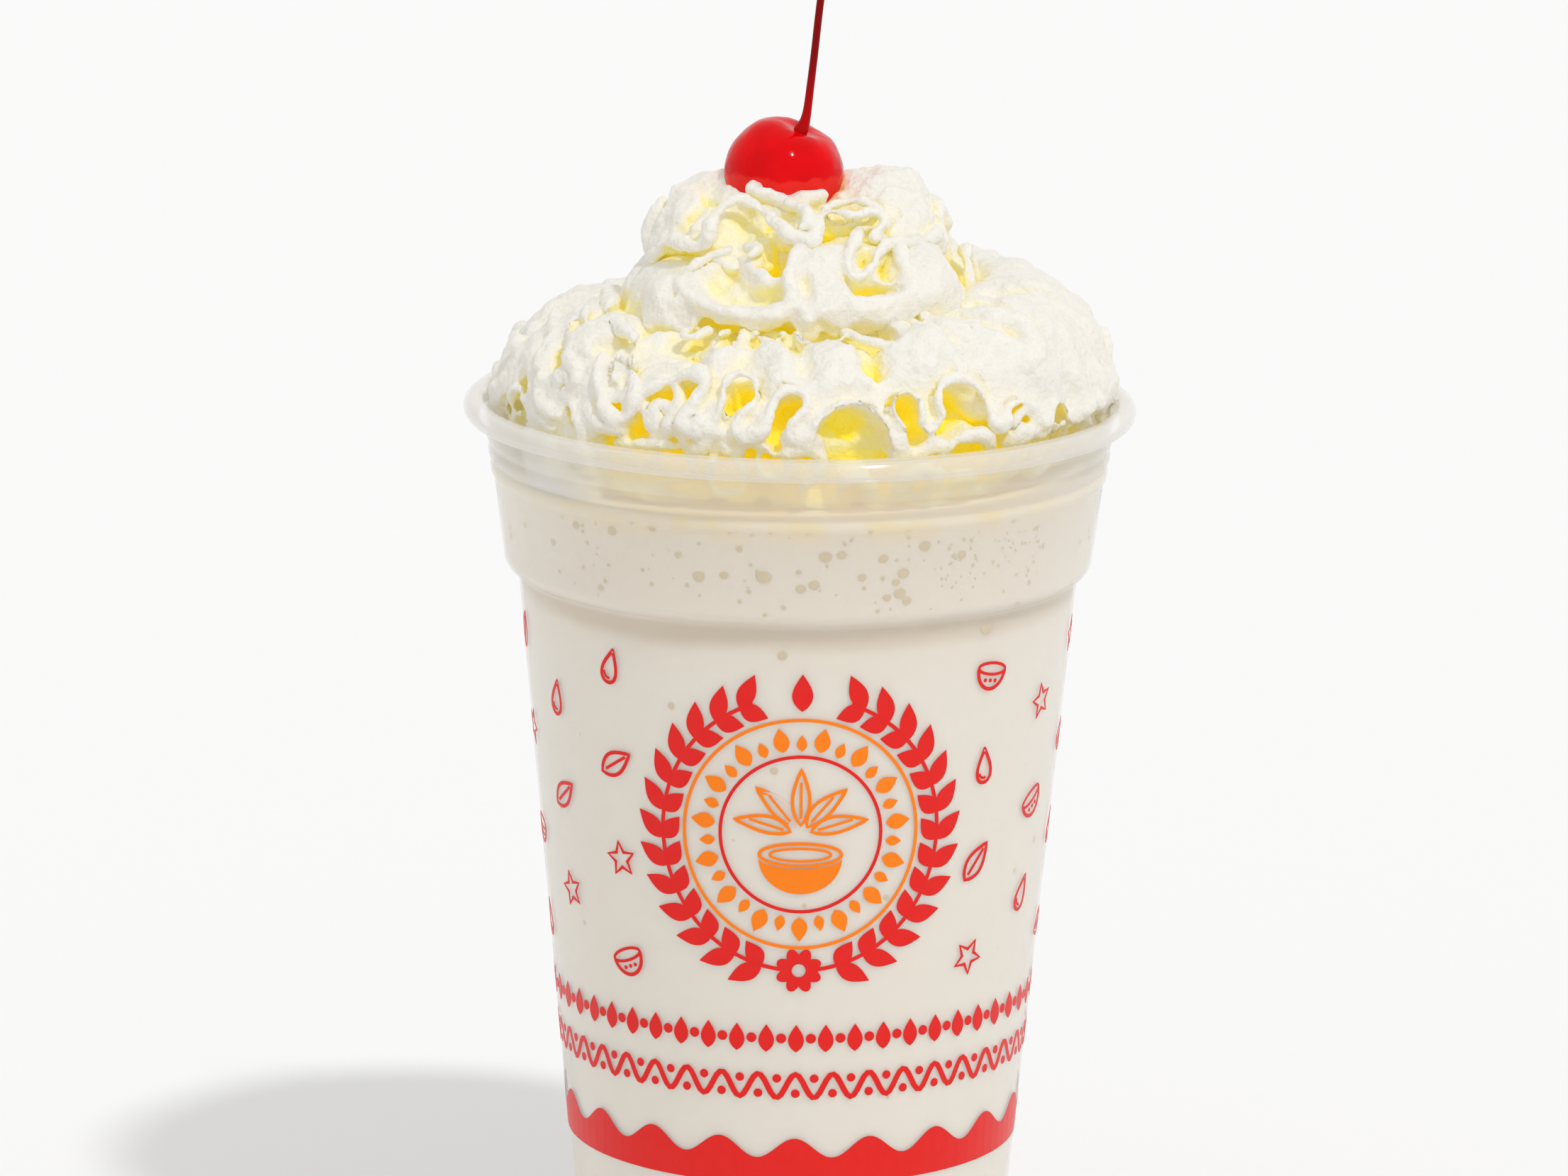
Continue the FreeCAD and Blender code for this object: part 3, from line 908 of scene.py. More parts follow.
# %% Strands and sheets
def unit(rows):
    """Every row of an array as a direction, one long."""
    return rows / (np.linalg.norm(rows, axis=1)[:, None] + 1e-9)


def bead(name, line, thickness, lift=0.0, taper=2.0):
    """A round strand along a line. lift is how far its middle stands off the rope's skin."""
    _, _, radius = rope_at(line[:, 0])
    middle = beside_rope(line[:, 0], line[:, 1], radius + lift)
    ahead = unit(np.gradient(middle, axis=0))
    outward = beside_rope(line[:, 0], line[:, 1], radius + lift + 1.0) - middle
    beside = unit(np.cross(ahead, outward))
    outward = np.cross(beside, ahead)
    walked = np.concatenate([[0], np.cumsum(np.linalg.norm(np.diff(middle, axis=0), axis=1))])
    from_end = np.minimum(walked, walked[-1] - walked) / max(taper, 0.01)
    size = thickness * np.sqrt(np.clip(from_end * (2 - np.minimum(from_end, 1)), 0.02, 1))
    angles = np.radians(np.arange(0, 360, 30))[None, :, None]
    ring = np.cos(angles) * outward[:, None] + np.sin(angles) * beside[:, None]
    return skin_mesh(name, middle[:, None] + size.reshape(-1, 1, 1) * ring)


def sheet_behind(name, line, depth, thickness):
    """A thin wall that stands under a line, from its bead down to a depth in the rope."""
    _, _, radius = rope_at(line[:, 0])
    outer = beside_rope(line[:, 0], line[:, 1], radius - 0.8)
    inner = beside_rope(line[:, 0], line[:, 1], radius - 0.8 - depth)
    beside = np.cross(unit(np.gradient(outer, axis=0)), outer - inner)
    beside *= thickness / (np.linalg.norm(beside, axis=1)[:, None] + 1e-9)
    around = [outer + beside, outer - beside, inner - beside, inner + beside]
    return skin_mesh(name, np.stack(around, axis=1))


print("strands and sheets ready")

# %% [markdown]
# ## Under and beside a line
# The skin has to know, at every place, whether it is under a hem or inside a pocket, and how far
# away that line is. The first comes from counting how often the line passes above the place, and
# the second from the nearest point of the line, measured flat on the skin.

# %% Under and beside a line
def under(line, turns, slopes):
    """True where a grid of turns and slopes lies under a line, or inside a closed one."""
    below = np.zeros((len(turns), len(slopes)), dtype=bool)
    spacing = turns[1] - turns[0]
    for (first_turn, first_slope), (last_turn, last_slope) in zip(line[:-1], line[1:]):
        ends = sorted(((first_turn - turns[0]) / spacing, (last_turn - turns[0]) / spacing))
        for column in range(max(math.ceil(ends[0]), 0), min(math.ceil(ends[1]), len(turns))):
            share = (turns[column] - first_turn) / (last_turn - first_turn)
            below[column, slopes < first_slope + share * (last_slope - first_slope)] ^= True
    return below


def distance_to(grid, line, limit=9.0):
    """How far each place of a grid lies from a line, in mm on the skin, and the line's nearest place."""
    places, marks = flat(grid), flat(line)
    distance = np.full(grid.shape[:2], limit)
    nearest = np.zeros(grid.shape[:2], dtype=int)
    for first in range(0, len(grid), 16):
        block = places[first:first + 16]
        close = np.flatnonzero(
            (marks[:, 0] > block[..., 0].min() - limit) & (marks[:, 0] < block[..., 0].max() + limit))
        if len(close):
            gaps = np.linalg.norm(block[..., None, :] - marks[close], axis=-1)
            distance[first:first + 16] = np.minimum(gaps.min(axis=-1), limit)
            nearest[first:first + 16] = close[gaps.argmin(axis=-1)]
    return distance, nearest


print("distances ready")

# %% [markdown]
# ## The rope's skin
# The skin is a tube along the spiral. Above the hem it is full. Below it the skin sinks into
# hollows. Close to the hem the skin follows it in and out, which gives the soft flutes. Pockets
# sink it further, and pads raise soft round bosses or, with a height below nothing, dents.

# %% Skin
def skin(name, start, end, hem, depth, flute_slopes, pockets=(), pads=(), step=0.42, section=(-95, 125)):
    """A closed tube along the rope, sunk under its hem and inside its pockets, raised on its pads.
    A pocket is (depth, line), a pad is (width, height, line)."""
    reach, _, radius = rope_at(np.linspace(start, end, 50))
    count = int((end - start) * 2 * np.pi * (reach + 0.9 * radius).mean() / step)
    turns = np.linspace(start, end, count)
    low, high = section
    slopes = np.radians(np.concatenate([
        np.arange(low, high, np.degrees(step / radius.mean())), np.arange(high, low + 360, 12)]))
    grid = np.stack(np.meshgrid(turns, slopes, indexing="ij"), axis=-1)
    gap, nearest = distance_to(grid, hem)
    signed = np.where(under(hem, turns, slopes), -gap, gap)
    flute = np.degrees(hem[nearest, 1]) - along(hem[nearest, 0], flute_slopes)
    _, _, radii = rope_at(grid[..., 0])
    distance = radii - 0.4 - depth * eased((0.5 - signed) / 1.8)
    distance -= 0.08 * flute * np.exp(-(np.maximum(signed, 0) / 4.5) ** 2)
    for pocket_depth, line in pockets:
        gap, _ = distance_to(grid, line)
        inside = under(line, turns, slopes)
        distance -= pocket_depth * eased((0.4 - np.where(inside, -gap, gap)) / 1.4)
    for width, height, line in pads:
        gap, _ = distance_to(grid, line, 3 * width)
        distance += height * np.exp(-(gap / width) ** 2)
    ends = np.clip(np.minimum(grid[..., 0] - start, end - grid[..., 0]) / 0.05, 0, 1)
    distance *= np.sqrt(1 - (1 - ends) ** 2) + 0.01
    return skin_mesh(name, beside_rope(grid[..., 0], grid[..., 1], distance))


print("skin ready")

# %% [markdown]
# ## One soft mass
# Skin, strands and sheets overlap each other. A voxel remesh melts them into one closed skin, a
# little smoothing rounds what would look cut, two or three sizes of clouds make it uneven, and
# Decimate thins the mesh where it is flat.

# %% One soft mass
def fused(name, parts, voxel, smooth, triangles, lumps):
    """Melts closed parts into one skin, roughens it, and thins it to a number of triangles."""
    piece = joined(name, parts)
    only(piece)
    remesh = piece.modifiers.new("one_skin", "REMESH")
    remesh.mode = "VOXEL"
    remesh.voxel_size = voxel * MM
    bpy.ops.object.modifier_apply(modifier=remesh.name)
    soften = piece.modifiers.new("soften", "SMOOTH")
    soften.factor = 0.5
    soften.iterations = smooth
    bpy.ops.object.modifier_apply(modifier=soften.name)
    for size, depth in lumps:
        roughen(piece, size, depth)
    full = sum(len(face.vertices) - 2 for face in piece.data.polygons)
    thin = piece.modifiers.new("thin_out", "DECIMATE")
    thin.ratio = min(1.0, triangles / full)
    bpy.ops.object.modifier_apply(modifier=thin.name)
    bpy.ops.object.shade_smooth()
    print(name, full, "triangles, thinned to", len(piece.data.polygons))
    return piece


print("melting ready")

# %% [markdown]
# ## Inside the cup, and how deep
# Whatever comes too near to the clear wall would show as a white patch, so it is drawn in
# towards the axis. Then every point stores how deep it lies under the rope's full round, and the
# finish reads that number to paint its yellow light into hollows: it tells a hollow from a bulge
# better than light alone.

# %% Inside the cup, and how deep
def places_of(piece):
    """All points of a piece, in metres."""
    places = np.empty(3 * len(piece.data.vertices))
    piece.data.vertices.foreach_get("co", places)
    return places.reshape(-1, 3)


def keep_inside_cup(piece):
    """Draws in what would stick into the cup's wall below its lip."""
    mouth = lip_radius - 2 * lip_tube
    side = np.array(inside[-40:] + [(mouth, lip_middle), (mouth, cup_height)])
    places = places_of(piece)
    reach = np.hypot(places[:, 0], places[:, 1])
    room = np.interp(places[:, 2], side[:, 1], side[:, 0]) - 0.25 * MM
    share = np.where(places[:, 2] < cup_height, np.minimum(1, room / np.maximum(reach, MM)), 1)
    places[:, :2] *= share[:, None]
    piece.data.vertices.foreach_set("co", places.ravel())
    print(piece.name, int((share < 1).sum()), "points drawn in")


def mark_depth(piece, start, end):
    """Stores how deep every point of a piece lies under the rope's full round, in mm."""
    x, y, z = places_of(piece).T / MM
    deepest = np.full(len(x), -5.0)
    for whole in range(4):
        turns = np.arctan2(y, x) / (2 * np.pi) % 1 + whole
        reach, height, radius = rope_at(turns)
        depth = radius - np.hypot(np.hypot(x, y) - reach, z - height)
        deepest = np.where((turns > start) & (turns < end), np.maximum(deepest, depth), deepest)
    piece.data.attributes.new("depth", "FLOAT", "POINT").data.foreach_set("value", deepest)


def core(radius, depth, height, above=cup_height, vertices=64):
    """A round block of cream for the rope's middle, some mm above the cup's lip or another height."""
    bpy.ops.mesh.primitive_cylinder_add(
        vertices=vertices, radius=radius * MM, depth=depth * MM, location=(0, 0, above + height * MM))
    return bpy.context.object


print("wall and depth ready")

# %% [markdown]
# ## The lowest turn's hem
# The lowest turn fills the cup's mouth, and its hem is what one sees first: it hangs over the
# lip in loops. In front the hem is sketched fold by fold. At the sides and the back its folds
# come from the river's bends.

# %% Lowest hem
front_hem = drawn_line([
    (227.2, -14), (227.2, -7), (228.1, 0), (229.5, 3), (231.6, 1), (234.4, 6), (235.9, 15), (236.2, 24),
    (238.2, 28), (240.8, 32), (243.6, 36), (247.1, 40), (249.4, 40), (251.1, 34), (249.7, 27), (248.3, 18),
    (247.4, 12), (248.5, 7), (250.3, 4), (252.6, 8), (254.0, 14), (254.9, 23), (254.9, 32), (255.5, 39),
    (257.5, 42), (260.1, 40), (261.2, 32), (260.6, 24), (258.9, 18), (257.5, 11), (257.8, 4), (259.8, 2),
    (262.1, 4), (263.5, 11), (264.4, 19), (265.2, 28), (267.0, 33), (269.0, 33), (270.7, 31), (271.3, 24),
    (269.9, 18), (268.4, 12), (268.4, 5), (269.9, 0), (271.9, 0), (272.7, 7), (273.6, 14), (275.3, 19),
    (277.6, 23), (280.5, 24), (283.1, 22), (285.1, 16), (286.6, 9), (287.7, 1), (289.2, -5), (290.3, -3),
    (290.0, 5), (288.9, 13), (288.0, 21), (289.2, 27), (291.5, 28), (293.2, 24), (293.5, 16), (293.5, 8),
    (294.6, 3), (296.4, 4), (297.5, 12), (297.2, 19), (298.1, 27), (300.7, 32), (303.6, 31), (305.9, 25),
    (307.3, 17), (308.2, 9), (308.7, 4), (310.5, 0), (311.3, 4), (312.2, 9), (314.5, 12), (317.1, 10),
    (319.4, 5), (320.5, -2), (322.6, -7), (323.7, -4), (324.6, 2), (326.0, 4), (328.6, 0), (329.8, -8),
    (332.6, -13), (334.7, -11), (336.4, -5), (340.7, -4), (345.6, -8),
])
back_slopes = [(0, -30), (0.15, -10), (0.2, 5), (0.60, 0), (0.64, 0), (1.0, -18), (1.3, -28)]
before_front = folded_line(-0.02, front_hem[0, 0] - 0.004, back_slopes, 8.0, 1.8, 0.2, 4)
after_front = folded_line(front_hem[-1, 0] + 0.004, 1.32, back_slopes, 7.0, 1.6, 0.2, 5)
low_hem = np.concatenate([before_front, front_hem, after_front])
print("lowest hem with", len(low_hem), "points")

# %% [markdown]
# ## Pockets between the folds
# Where cream folds over itself it leaves small caves. Each is a closed line with a depth: those
# round 100 degrees of slope lie on top, between this turn and the next, the others open to the
# side between the loops of the hem.

# %% Lowest pockets
low_pockets = [(depth, drawn_line(places, closed=True)) for depth, places in [
    (4.5, [(226.7, 22), (224.4, 37), (223.2, 47), (224.9, 46), (227.8, 33), (229.0, 23)]),
    (4.5, [(232.1, 24), (231.0, 35), (231.3, 40), (233.3, 33), (234.1, 24)]),
    (4.0, [(224.4, 24), (222.6, 32), (222.9, 36), (224.9, 30), (225.5, 24)]),
    (4.5, [(226.9, 19), (228.1, 9), (231.6, 5), (234.1, 10), (234.7, 19), (234.1, 22), (230.7, 20)]),
    (3.0, [(211.7, 26), (209.1, 36), (207.9, 44), (211.1, 44), (214.8, 35), (214.3, 29)]),
    (3.5, [(215.4, 18), (215.1, 25), (216.9, 28), (219.5, 23), (218.3, 16)]),
    (2.5, [(202.2, 40), (199.6, 47), (202.8, 48), (206.8, 40), (205.1, 37)]),
    (3.5, [(190.9, -9), (197.0, 7), (199.9, 20), (202.2, 25), (205.1, 18), (204.8, 7), (199.9, -5)]),
    (3.0, [(217.2, 16), (219.7, 13), (222.6, 2), (224.4, -11), (222.6, -12), (219.7, 1)]),
    (3.2, [(248.3, 104), (248.6, 70), (251.0, 62), (253.2, 72), (252.6, 104)]),
    (3.6, [(238.0, 104), (238.3, 80), (241.0, 76), (243.0, 82), (243.0, 104)]),
    (3.6, [(257.0, 104), (258.0, 86), (261.0, 82), (264.0, 86), (264.0, 104)]),
    (2.2, [(270.0, 104), (270.0, 84), (276.0, 80), (281.0, 84), (281.0, 104)]),
    (4.2, [(283.5, 104), (284.0, 82), (288.0, 70), (293.0, 66), (296.0, 80), (296.0, 104)]),
    (2.6, [(303.0, 104), (304.0, 88), (306.0, 86), (308.0, 104)]),
    (2.2, [(305.0, 52), (307.0, 53), (306.1, 44), (303.8, 33), (303.8, 42)]),
    (2.0, [(283.4, 40), (284.5, 40), (284.5, 36), (283.4, 37)]),
    (3.2, [(336.1, -12), (337.2, -6), (343.6, -8), (352.5, -16), (351.4, -23), (347.6, -26)]),
    (2.6, [(314.2, -3), (315.1, 4), (317.7, 4), (319.1, -2), (317.7, -8)]),
    (2.6, [(324.6, -6), (325.2, 0), (328.0, 0), (329.8, -8), (328.3, -12)]),
    (2.5, [(312.2, 68), (314.5, 68), (312.8, 60), (310.8, 60)]),
]]
print("pockets", len(low_pockets))

# %% [markdown]
# ## Loose strands of the lowest turn
# Small loops rest on the lip, a ring curls under the hem, and on the left long thin folds climb
# up to the next turn. The first number of each is its thickness in mm.

# %% Lowest strands
small_ring = drawn_line([
    (246.5, -5), (246.2, 4), (245.4, 12), (243.6, 19), (241.6, 21), (240.5, 18), (240.8, 12), (241.6, 4),
    (243.4, -2),
])
rim_loops = [(size, drawn_line(strand)) for size, strand in [
    (0.9, [(231.6, -6), (234.4, -8), (238.5, -6), (242.5, -6), (246.2, -7)]),
    (1.2, [(248.8, -12), (250.8, -4), (252.9, 1), (254.6, 4), (255.5, -2), (255.7, -10)]),
    (0.85, [(257.5, -12), (258.0, -6), (259.8, -2), (262.1, -2), (264.1, -5), (265.0, -11)]),
    (0.85, [(266.1, -11), (267.0, -6), (269.3, -4), (271.9, -4), (273.6, -8), (274.2, -12)]),
    (1.1, [(288.3, -12), (289.4, -8), (291.5, -9), (292.9, -13)]),
    (1.3, [(292.6, -13), (294.3, -8), (296.4, -4), (298.7, -9), (299.8, -14)]),
    (0.85, [(299.5, -14), (300.4, -8), (302.7, -4), (305.9, -4), (308.4, -9), (310.2, -17)]),
    (1.0, [(312.8, -15), (314.5, -11), (318.0, -9), (321.1, -12), (324.6, -18)]),
]]
left_folds = [(size, drawn_line(strand)) for size, strand in [
    (0.9, [(188.4, 68), (194.1, 59), (202.8, 53), (204.2, 43), (206.5, 32), (210.0, 25), (209.7, 16),
     (212.0, 10), (215.7, 6), (218.9, 2)]),
    (0.8, [(175.1, 96), (192.1, 98), (208.8, 83), (218.0, 76), (223.5, 68), (227.8, 64), (231.3, 57)]),
    (0.75, [(223.8, 48), (224.9, 37), (227.5, 25), (230.1, 14), (233.0, 8), (235.6, 10), (236.7, 18),
     (236.4, 28), (233.3, 40), (231.6, 52)]),
    (0.65, [(227.2, 50), (228.7, 41), (230.7, 32), (231.0, 40), (229.2, 50)]),
    (0.8, [(187.5, 42), (189.8, 33), (197.3, 29), (195.6, 20), (194.1, 9), (191.2, -2)]),
    (0.75, [(201.9, 68), (207.9, 56), (214.6, 49), (215.7, 40), (220.0, 33), (220.6, 24)]),
    (0.7, [(199.9, 79), (208.5, 67), (214.8, 60), (217.4, 50), (221.5, 44)]),
    (0.8, [(220.3, 16), (222.0, 9), (224.4, 1), (226.4, -6)]),
    (0.7, [(206.5, 10), (209.4, 4), (213.1, -1), (216.9, -5)]),
]]
print("loops on the lip", len(rim_loops), "and folds on the left", len(left_folds))

# %% [markdown]
# ## Puffs and grooves
# The broad round shoulder of the turn isn't even: soft puffs swell out of it, two dents sink in,
# and shallow grooves run down it from the turn above. All of them are pads with a width and a
# height in mm, and a height below nothing sinks in.

# %% Lowest puffs and grooves
low_puffs = [
    (width, height, spot(degrees_round, slope_deg)) for width, height, degrees_round, slope_deg in [
        (7, 1.6, 248, 62), (6, 1.4, 272, 55), (7, 1.8, 300, 60), (7, 1.4, 322, 45), (6, 1.6, 214, 62),
        (6, 1.2, 200, 40), (6, 1.4, 345, 70), (8, 1.8, 356, -8), (5, -2.5, 238, 72), (5, -2.0, 244, 78)]]
groove_slopes = (92, 70, 52)
low_grooves = [
    (1.7, -1.9, drawn_line([
        (degrees_round + step * lean, slope) for step, slope in enumerate(groove_slopes)]))
    for degrees_round, lean in [
        (226, -2), (241, 3), (258, -1), (267, 2), (281, 3), (290, -2), (303, 2), (313, 4), (327, 1),
        (338, 4), (205, 2), (190, -3), (172, 2), (150, 3), (130, -2), (110, 3), (90, 2), (70, -3),
        (50, 2), (30, 3)]]
print("puffs", len(low_puffs), "and grooves", len(low_grooves))

# %% [markdown]
# ## The lowest turn
# Two more rows of folds lie under the hem, each with a thin wall behind it. Then everything is
# melted together with a round block that fills the rope's middle.

# %% Lowest turn
second_slopes = [(0, -40), (0.2, -14), (0.6, -12), (0.75, -13), (1.0, -38), (1.2, -45)]
second_hem = folded_line(0.02, 1.2, second_slopes, 7.5, 1.8, 0.2, 9)
third_slopes = [(0, -60), (0.2, -48), (0.75, -48), (1.0, -64), (1.2, -70)]
third_hem = folded_line(0.02, 1.2, third_slopes, 7.5, 1.7, 0.25, 12)
flute_slopes = [(0, 14), (0.75, 20), (1.0, -5)]
low_pads = low_puffs + low_grooves
lowest_parts = [
    skin("lowest_skin", 0.0, 1.30, low_hem, 5.5, flute_slopes, low_pockets, low_pads),
    bead("low_bead", low_hem, 0.72, 0.35),
    bead("second_bead", second_hem, 0.75, -0.8),
    bead("third_bead", third_hem, 0.75, -1.0),
    bead("small_ring", small_ring, 0.7, -1.0),
    sheet_behind("small_ring_wall", small_ring, 4.0, 0.5),
]
for _, pocket in low_pockets:
    lowest_parts.append(bead("pocket_bead", pocket, 0.5, -0.2))
for size, loop in rim_loops:
    lowest_parts.append(bead("rim_loop", loop, size, -0.4))
    lowest_parts.append(sheet_behind("rim_wall", loop, 4.5, 0.6))
for size, fold in left_folds:
    lowest_parts.append(bead("left_fold", fold, size, 0.6))
for row in (second_hem, third_hem):
    lowest_parts.append(sheet_behind("sheet", row, 5.5, 0.55))
lowest_parts.append(core(31, 20, 10.3, above=level, vertices=96))
lowest = fused("cream_lowest_turn", lowest_parts, 0.36, 2, 190000, [(9, 3.0), (4, 1.4), (1.6, 0.55)])

# %% [markdown]
# ## The middle turn
# It is narrower and thicker in its folds. A long strand curls down its middle, and deep pockets
# open beside it, so the turn looks like a ribbon that was laid down in one go. Only the front
# is sketched again.

# %% Middle hem and pockets
middle_front = drawn_line([
    (563.6, 15), (568.2, 8), (572.5, 2), (577.2, -1), (580.9, 3), (583.8, 9), (586.9, 12), (590.7, 10),
    (593.3, 6), (595.6, 9), (596.4, 15), (597.0, 21), (599.3, 24), (603.4, 21), (608.3, 18), (614.9, 15),
    (620.4, 15), (624.7, 17), (627.0, 21), (628.4, 15), (629.9, 8), (632.4, 4), (634.5, 7), (635.9, 12),
    (637.6, 8), (640.2, 4), (644.8, 4), (650.3, 1), (656.6, 0), (661.8, 2), (665.3, 5), (667.6, 0),
    (670.2, -7), (674.2, -11), (677.1, -8), (680.3, -13), (685.7, -22), (692.4, -27), (694.4, -22),
    (697.0, -19),
])
middle_pockets = [(depth, drawn_line(places, closed=True)) for depth, places in [
    (7.0, [(644.8, 47), (648.3, 36), (652.9, 35), (657.5, 31), (662.4, 25), (659.5, 23), (654.3, 24),
     (647.4, 26), (646.0, 34)]),
    (6.0, [(654.9, 64), (658.9, 64), (658.4, 55), (654.6, 48), (652.0, 48), (652.3, 56)]),
    (3.6, [(656.9, 35), (658.4, 48), (663.6, 57), (667.9, 57), (666.7, 45), (664.7, 31), (660.7, 31)]),
    (5.5, [(599.0, 94), (469.7, 109), (618.0, 96), (624.1, 78), (623.2, 53), (618.0, 59), (610.3, 71)]),
    (4.0, [(584.6, 43), (586.4, 45), (589.2, 35), (587.8, 32)]),
    (3.0, [(589.2, 57), (592.4, 67), (595.0, 82), (602.2, 80), (612.0, 56), (618.9, 44), (624.7, 44),
     (624.4, 30), (618.9, 27), (607.1, 31), (598.2, 38)]),
    (3.0, [(629.0, 42), (630.7, 49), (633.3, 44), (633.9, 32), (631.9, 24), (630.1, 31)]),
]]
middle_slopes = [(1.15, -60), (1.3, -10), (1.5, -5), (2.2, -5)]
middle_hem = np.concatenate([
    folded_line(1.15, middle_front[0, 0] - 0.006, middle_slopes, 11.0, 1.6, 0.2, 31),
    middle_front,
    folded_line(middle_front[-1, 0] + 0.006, 2.2, middle_slopes, 11.0, 1.5, 0.2, 33)])
print("middle hem with", len(middle_hem), "points and", len(middle_pockets), "pockets")

# %% [markdown]
# ## Strands of the middle turn
# Strands with a thickness and pads with a width and a height, all in mm. A pad under a strand
# lifts the skin towards it, so that the fold grows out of the rope instead of lying on it.

# %% Middle strands and pads
middle_strands = [(size, drawn_line(strand)) for size, strand in [
    (1.1, [(585.2, 52), (587.5, 44), (591.8, 36), (596.2, 31), (600.2, 28), (605.4, 24), (611.4, 21),
     (617.2, 19), (621.2, 18), (624.4, 20), (626.4, 27), (627.0, 34), (625.8, 44), (625.5, 52),
     (627.0, 64), (629.6, 74), (633.9, 88), (638.2, 98)]),
    (0.6, [(584.6, 53), (586.1, 61), (587.8, 74), (584.9, 93), (491.0, 109), (485.0, 109), (598.8, 92),
     (608.0, 69)]),
    (1.0, [(634.5, 37), (636.2, 28), (637.9, 17), (639.1, 8)]),
    (1.6, [(642.0, 32), (643.4, 22), (646.0, 16), (650.6, 12), (656.1, 10), (661.0, 11), (664.7, 16),
     (667.3, 21)]),
    (0.75, [(663.6, 64), (668.7, 72), (667.3, 80), (659.8, 80), (652.3, 69), (647.4, 56), (646.6, 44),
     (648.6, 39), (651.7, 40), (655.5, 45), (660.4, 55), (666.7, 61), (669.6, 57), (667.9, 44),
     (665.9, 32), (664.7, 23)]),
    (1.0, [(669.6, 27), (669.6, 14), (670.8, 2), (672.5, -7)]),
    (1.0, [(682.0, 27), (684.0, 19), (685.4, 4), (688.9, -15)]),
]]
middle_pads = [(width, height, drawn_line(line)) for width, height, line in [
    (2.6, 1.8, [(596.2, 31), (600.2, 28), (605.4, 24), (611.4, 21), (617.2, 19), (621.2, 18), (624.4, 20)]),
    (3.0, 2.4, [(643.4, 22), (646.0, 16), (650.6, 13), (656.1, 12), (661.2, 12), (664.7, 16)]),
    (3.5, 1.5, [(629.3, 16), (630.7, 25), (629.9, 42), (630.4, 58)]),
    (3.0, 1.5, [(670.2, 27), (670.5, 14), (671.3, 0)]),
    (3.0, 1.5, [(682.6, 24), (684.0, 12), (686.9, -7)]),
    (3.5, 2.2, [(582.3, 8), (580.0, 20), (577.7, 33)]),
    (3.5, 1.8, [(589.0, 14), (587.2, 24), (585.5, 34)]),
]]
print("strands", len(middle_strands), "and pads", len(middle_pads))

# %% [markdown]
# ## Melting the middle turn
# Skin, hem, strands and the walls behind them become one piece, as with the lowest turn. Finer
# voxels keep the thinner strands.

# %% Middle turn
middle_parts = [
    skin("middle_skin", 1.15, 2.15, middle_hem, 5.5, [(1, -5)], middle_pockets, middle_pads),
    bead("middle_bead", middle_hem, 0.9, 0.1),
]
for size, strand in middle_strands:
    middle_parts.append(bead("middle_strand", strand, size, 0.9))
    middle_parts.append(sheet_behind("middle_sheet", strand, 4.0, 0.7 * size))
middle_parts.append(core(15, 14, 9))
middle = fused("cream_middle_turn", middle_parts, 0.33, 2, 170000, [(7, 2.0), (3, 0.9), (1.4, 0.35)])

# %% [markdown]
# ## The top turn
# The last turn closes over the swirl's tip. Its hem swings high in two wide loops, and the
# cherry will rest in the small bowl between its strands.

# %% Top hem, pockets and strands
top_front = drawn_line([
    (906.0, -17), (914.4, -5), (922.2, 7), (929.7, 14), (936.6, 15), (943.2, 16), (947.2, 24), (947.5, 35),
    (946.7, 48), (947.2, 60), (951.0, 70), (959.3, 71), (968.8, 64), (975.7, 54), (981.8, 46), (987.3, 40),
    (992.2, 39), (995.9, 43), (998.5, 52), (1000.8, 62), (1005.7, 73), (1013.5, 76), (1021.8, 72),
    (1027.9, 63), (1031.6, 52), (1030.8, 43), (1027.0, 36), (1023.0, 32), (1026.4, 25), (1032.2, 22),
    (1037.7, 17), (1044.9, 12), (1052.9, 11), (1060.7, 13),
])
top_pockets = [(depth, drawn_line(places, closed=True)) for depth, places in [
    (3.6, [(968.0, 75), (977.8, 73), (985.5, 64), (986.1, 54), (980.6, 57), (973.4, 65)]),
    (3.2, [(1008.9, 68), (1016.1, 69), (1024.4, 63), (1029.0, 54), (1021.8, 56), (1014.6, 60)]),
    (3.0, [(923.9, 16), (924.5, 28), (921.3, 46), (913.8, 64), (918.1, 64), (925.9, 46), (928.2, 28),
     (927.1, 16)]),
]]
top_strands = [(size, drawn_line(strand)) for size, strand in [
    (0.95, [(955.0, 81), (961.3, 85), (970.0, 88), (981.5, 83), (989.9, 72), (993.0, 60), (991.6, 52),
     (988.7, 48)]),
    (0.85, [(1001.1, 66), (1007.1, 62), (1013.2, 56), (1020.4, 52), (1027.3, 50), (1032.5, 51)]),
    (1.2, [(953.3, 80), (949.8, 99), (960.2, 100), (971.1, 99), (981.5, 97), (992.4, 97), (1014.3, 99)]),
]]
top_pads = [(6, 2.6, spot(985, 78)), (5, 1.5, spot(1076, 50)), (5, 1.0, spot(905, 40))]
print("pockets", len(top_pockets), "and strands", len(top_strands))

# %% [markdown]
# ## Melting the top turn
# The hem is closed round the back by the river's bends, and the parts are melted as before.

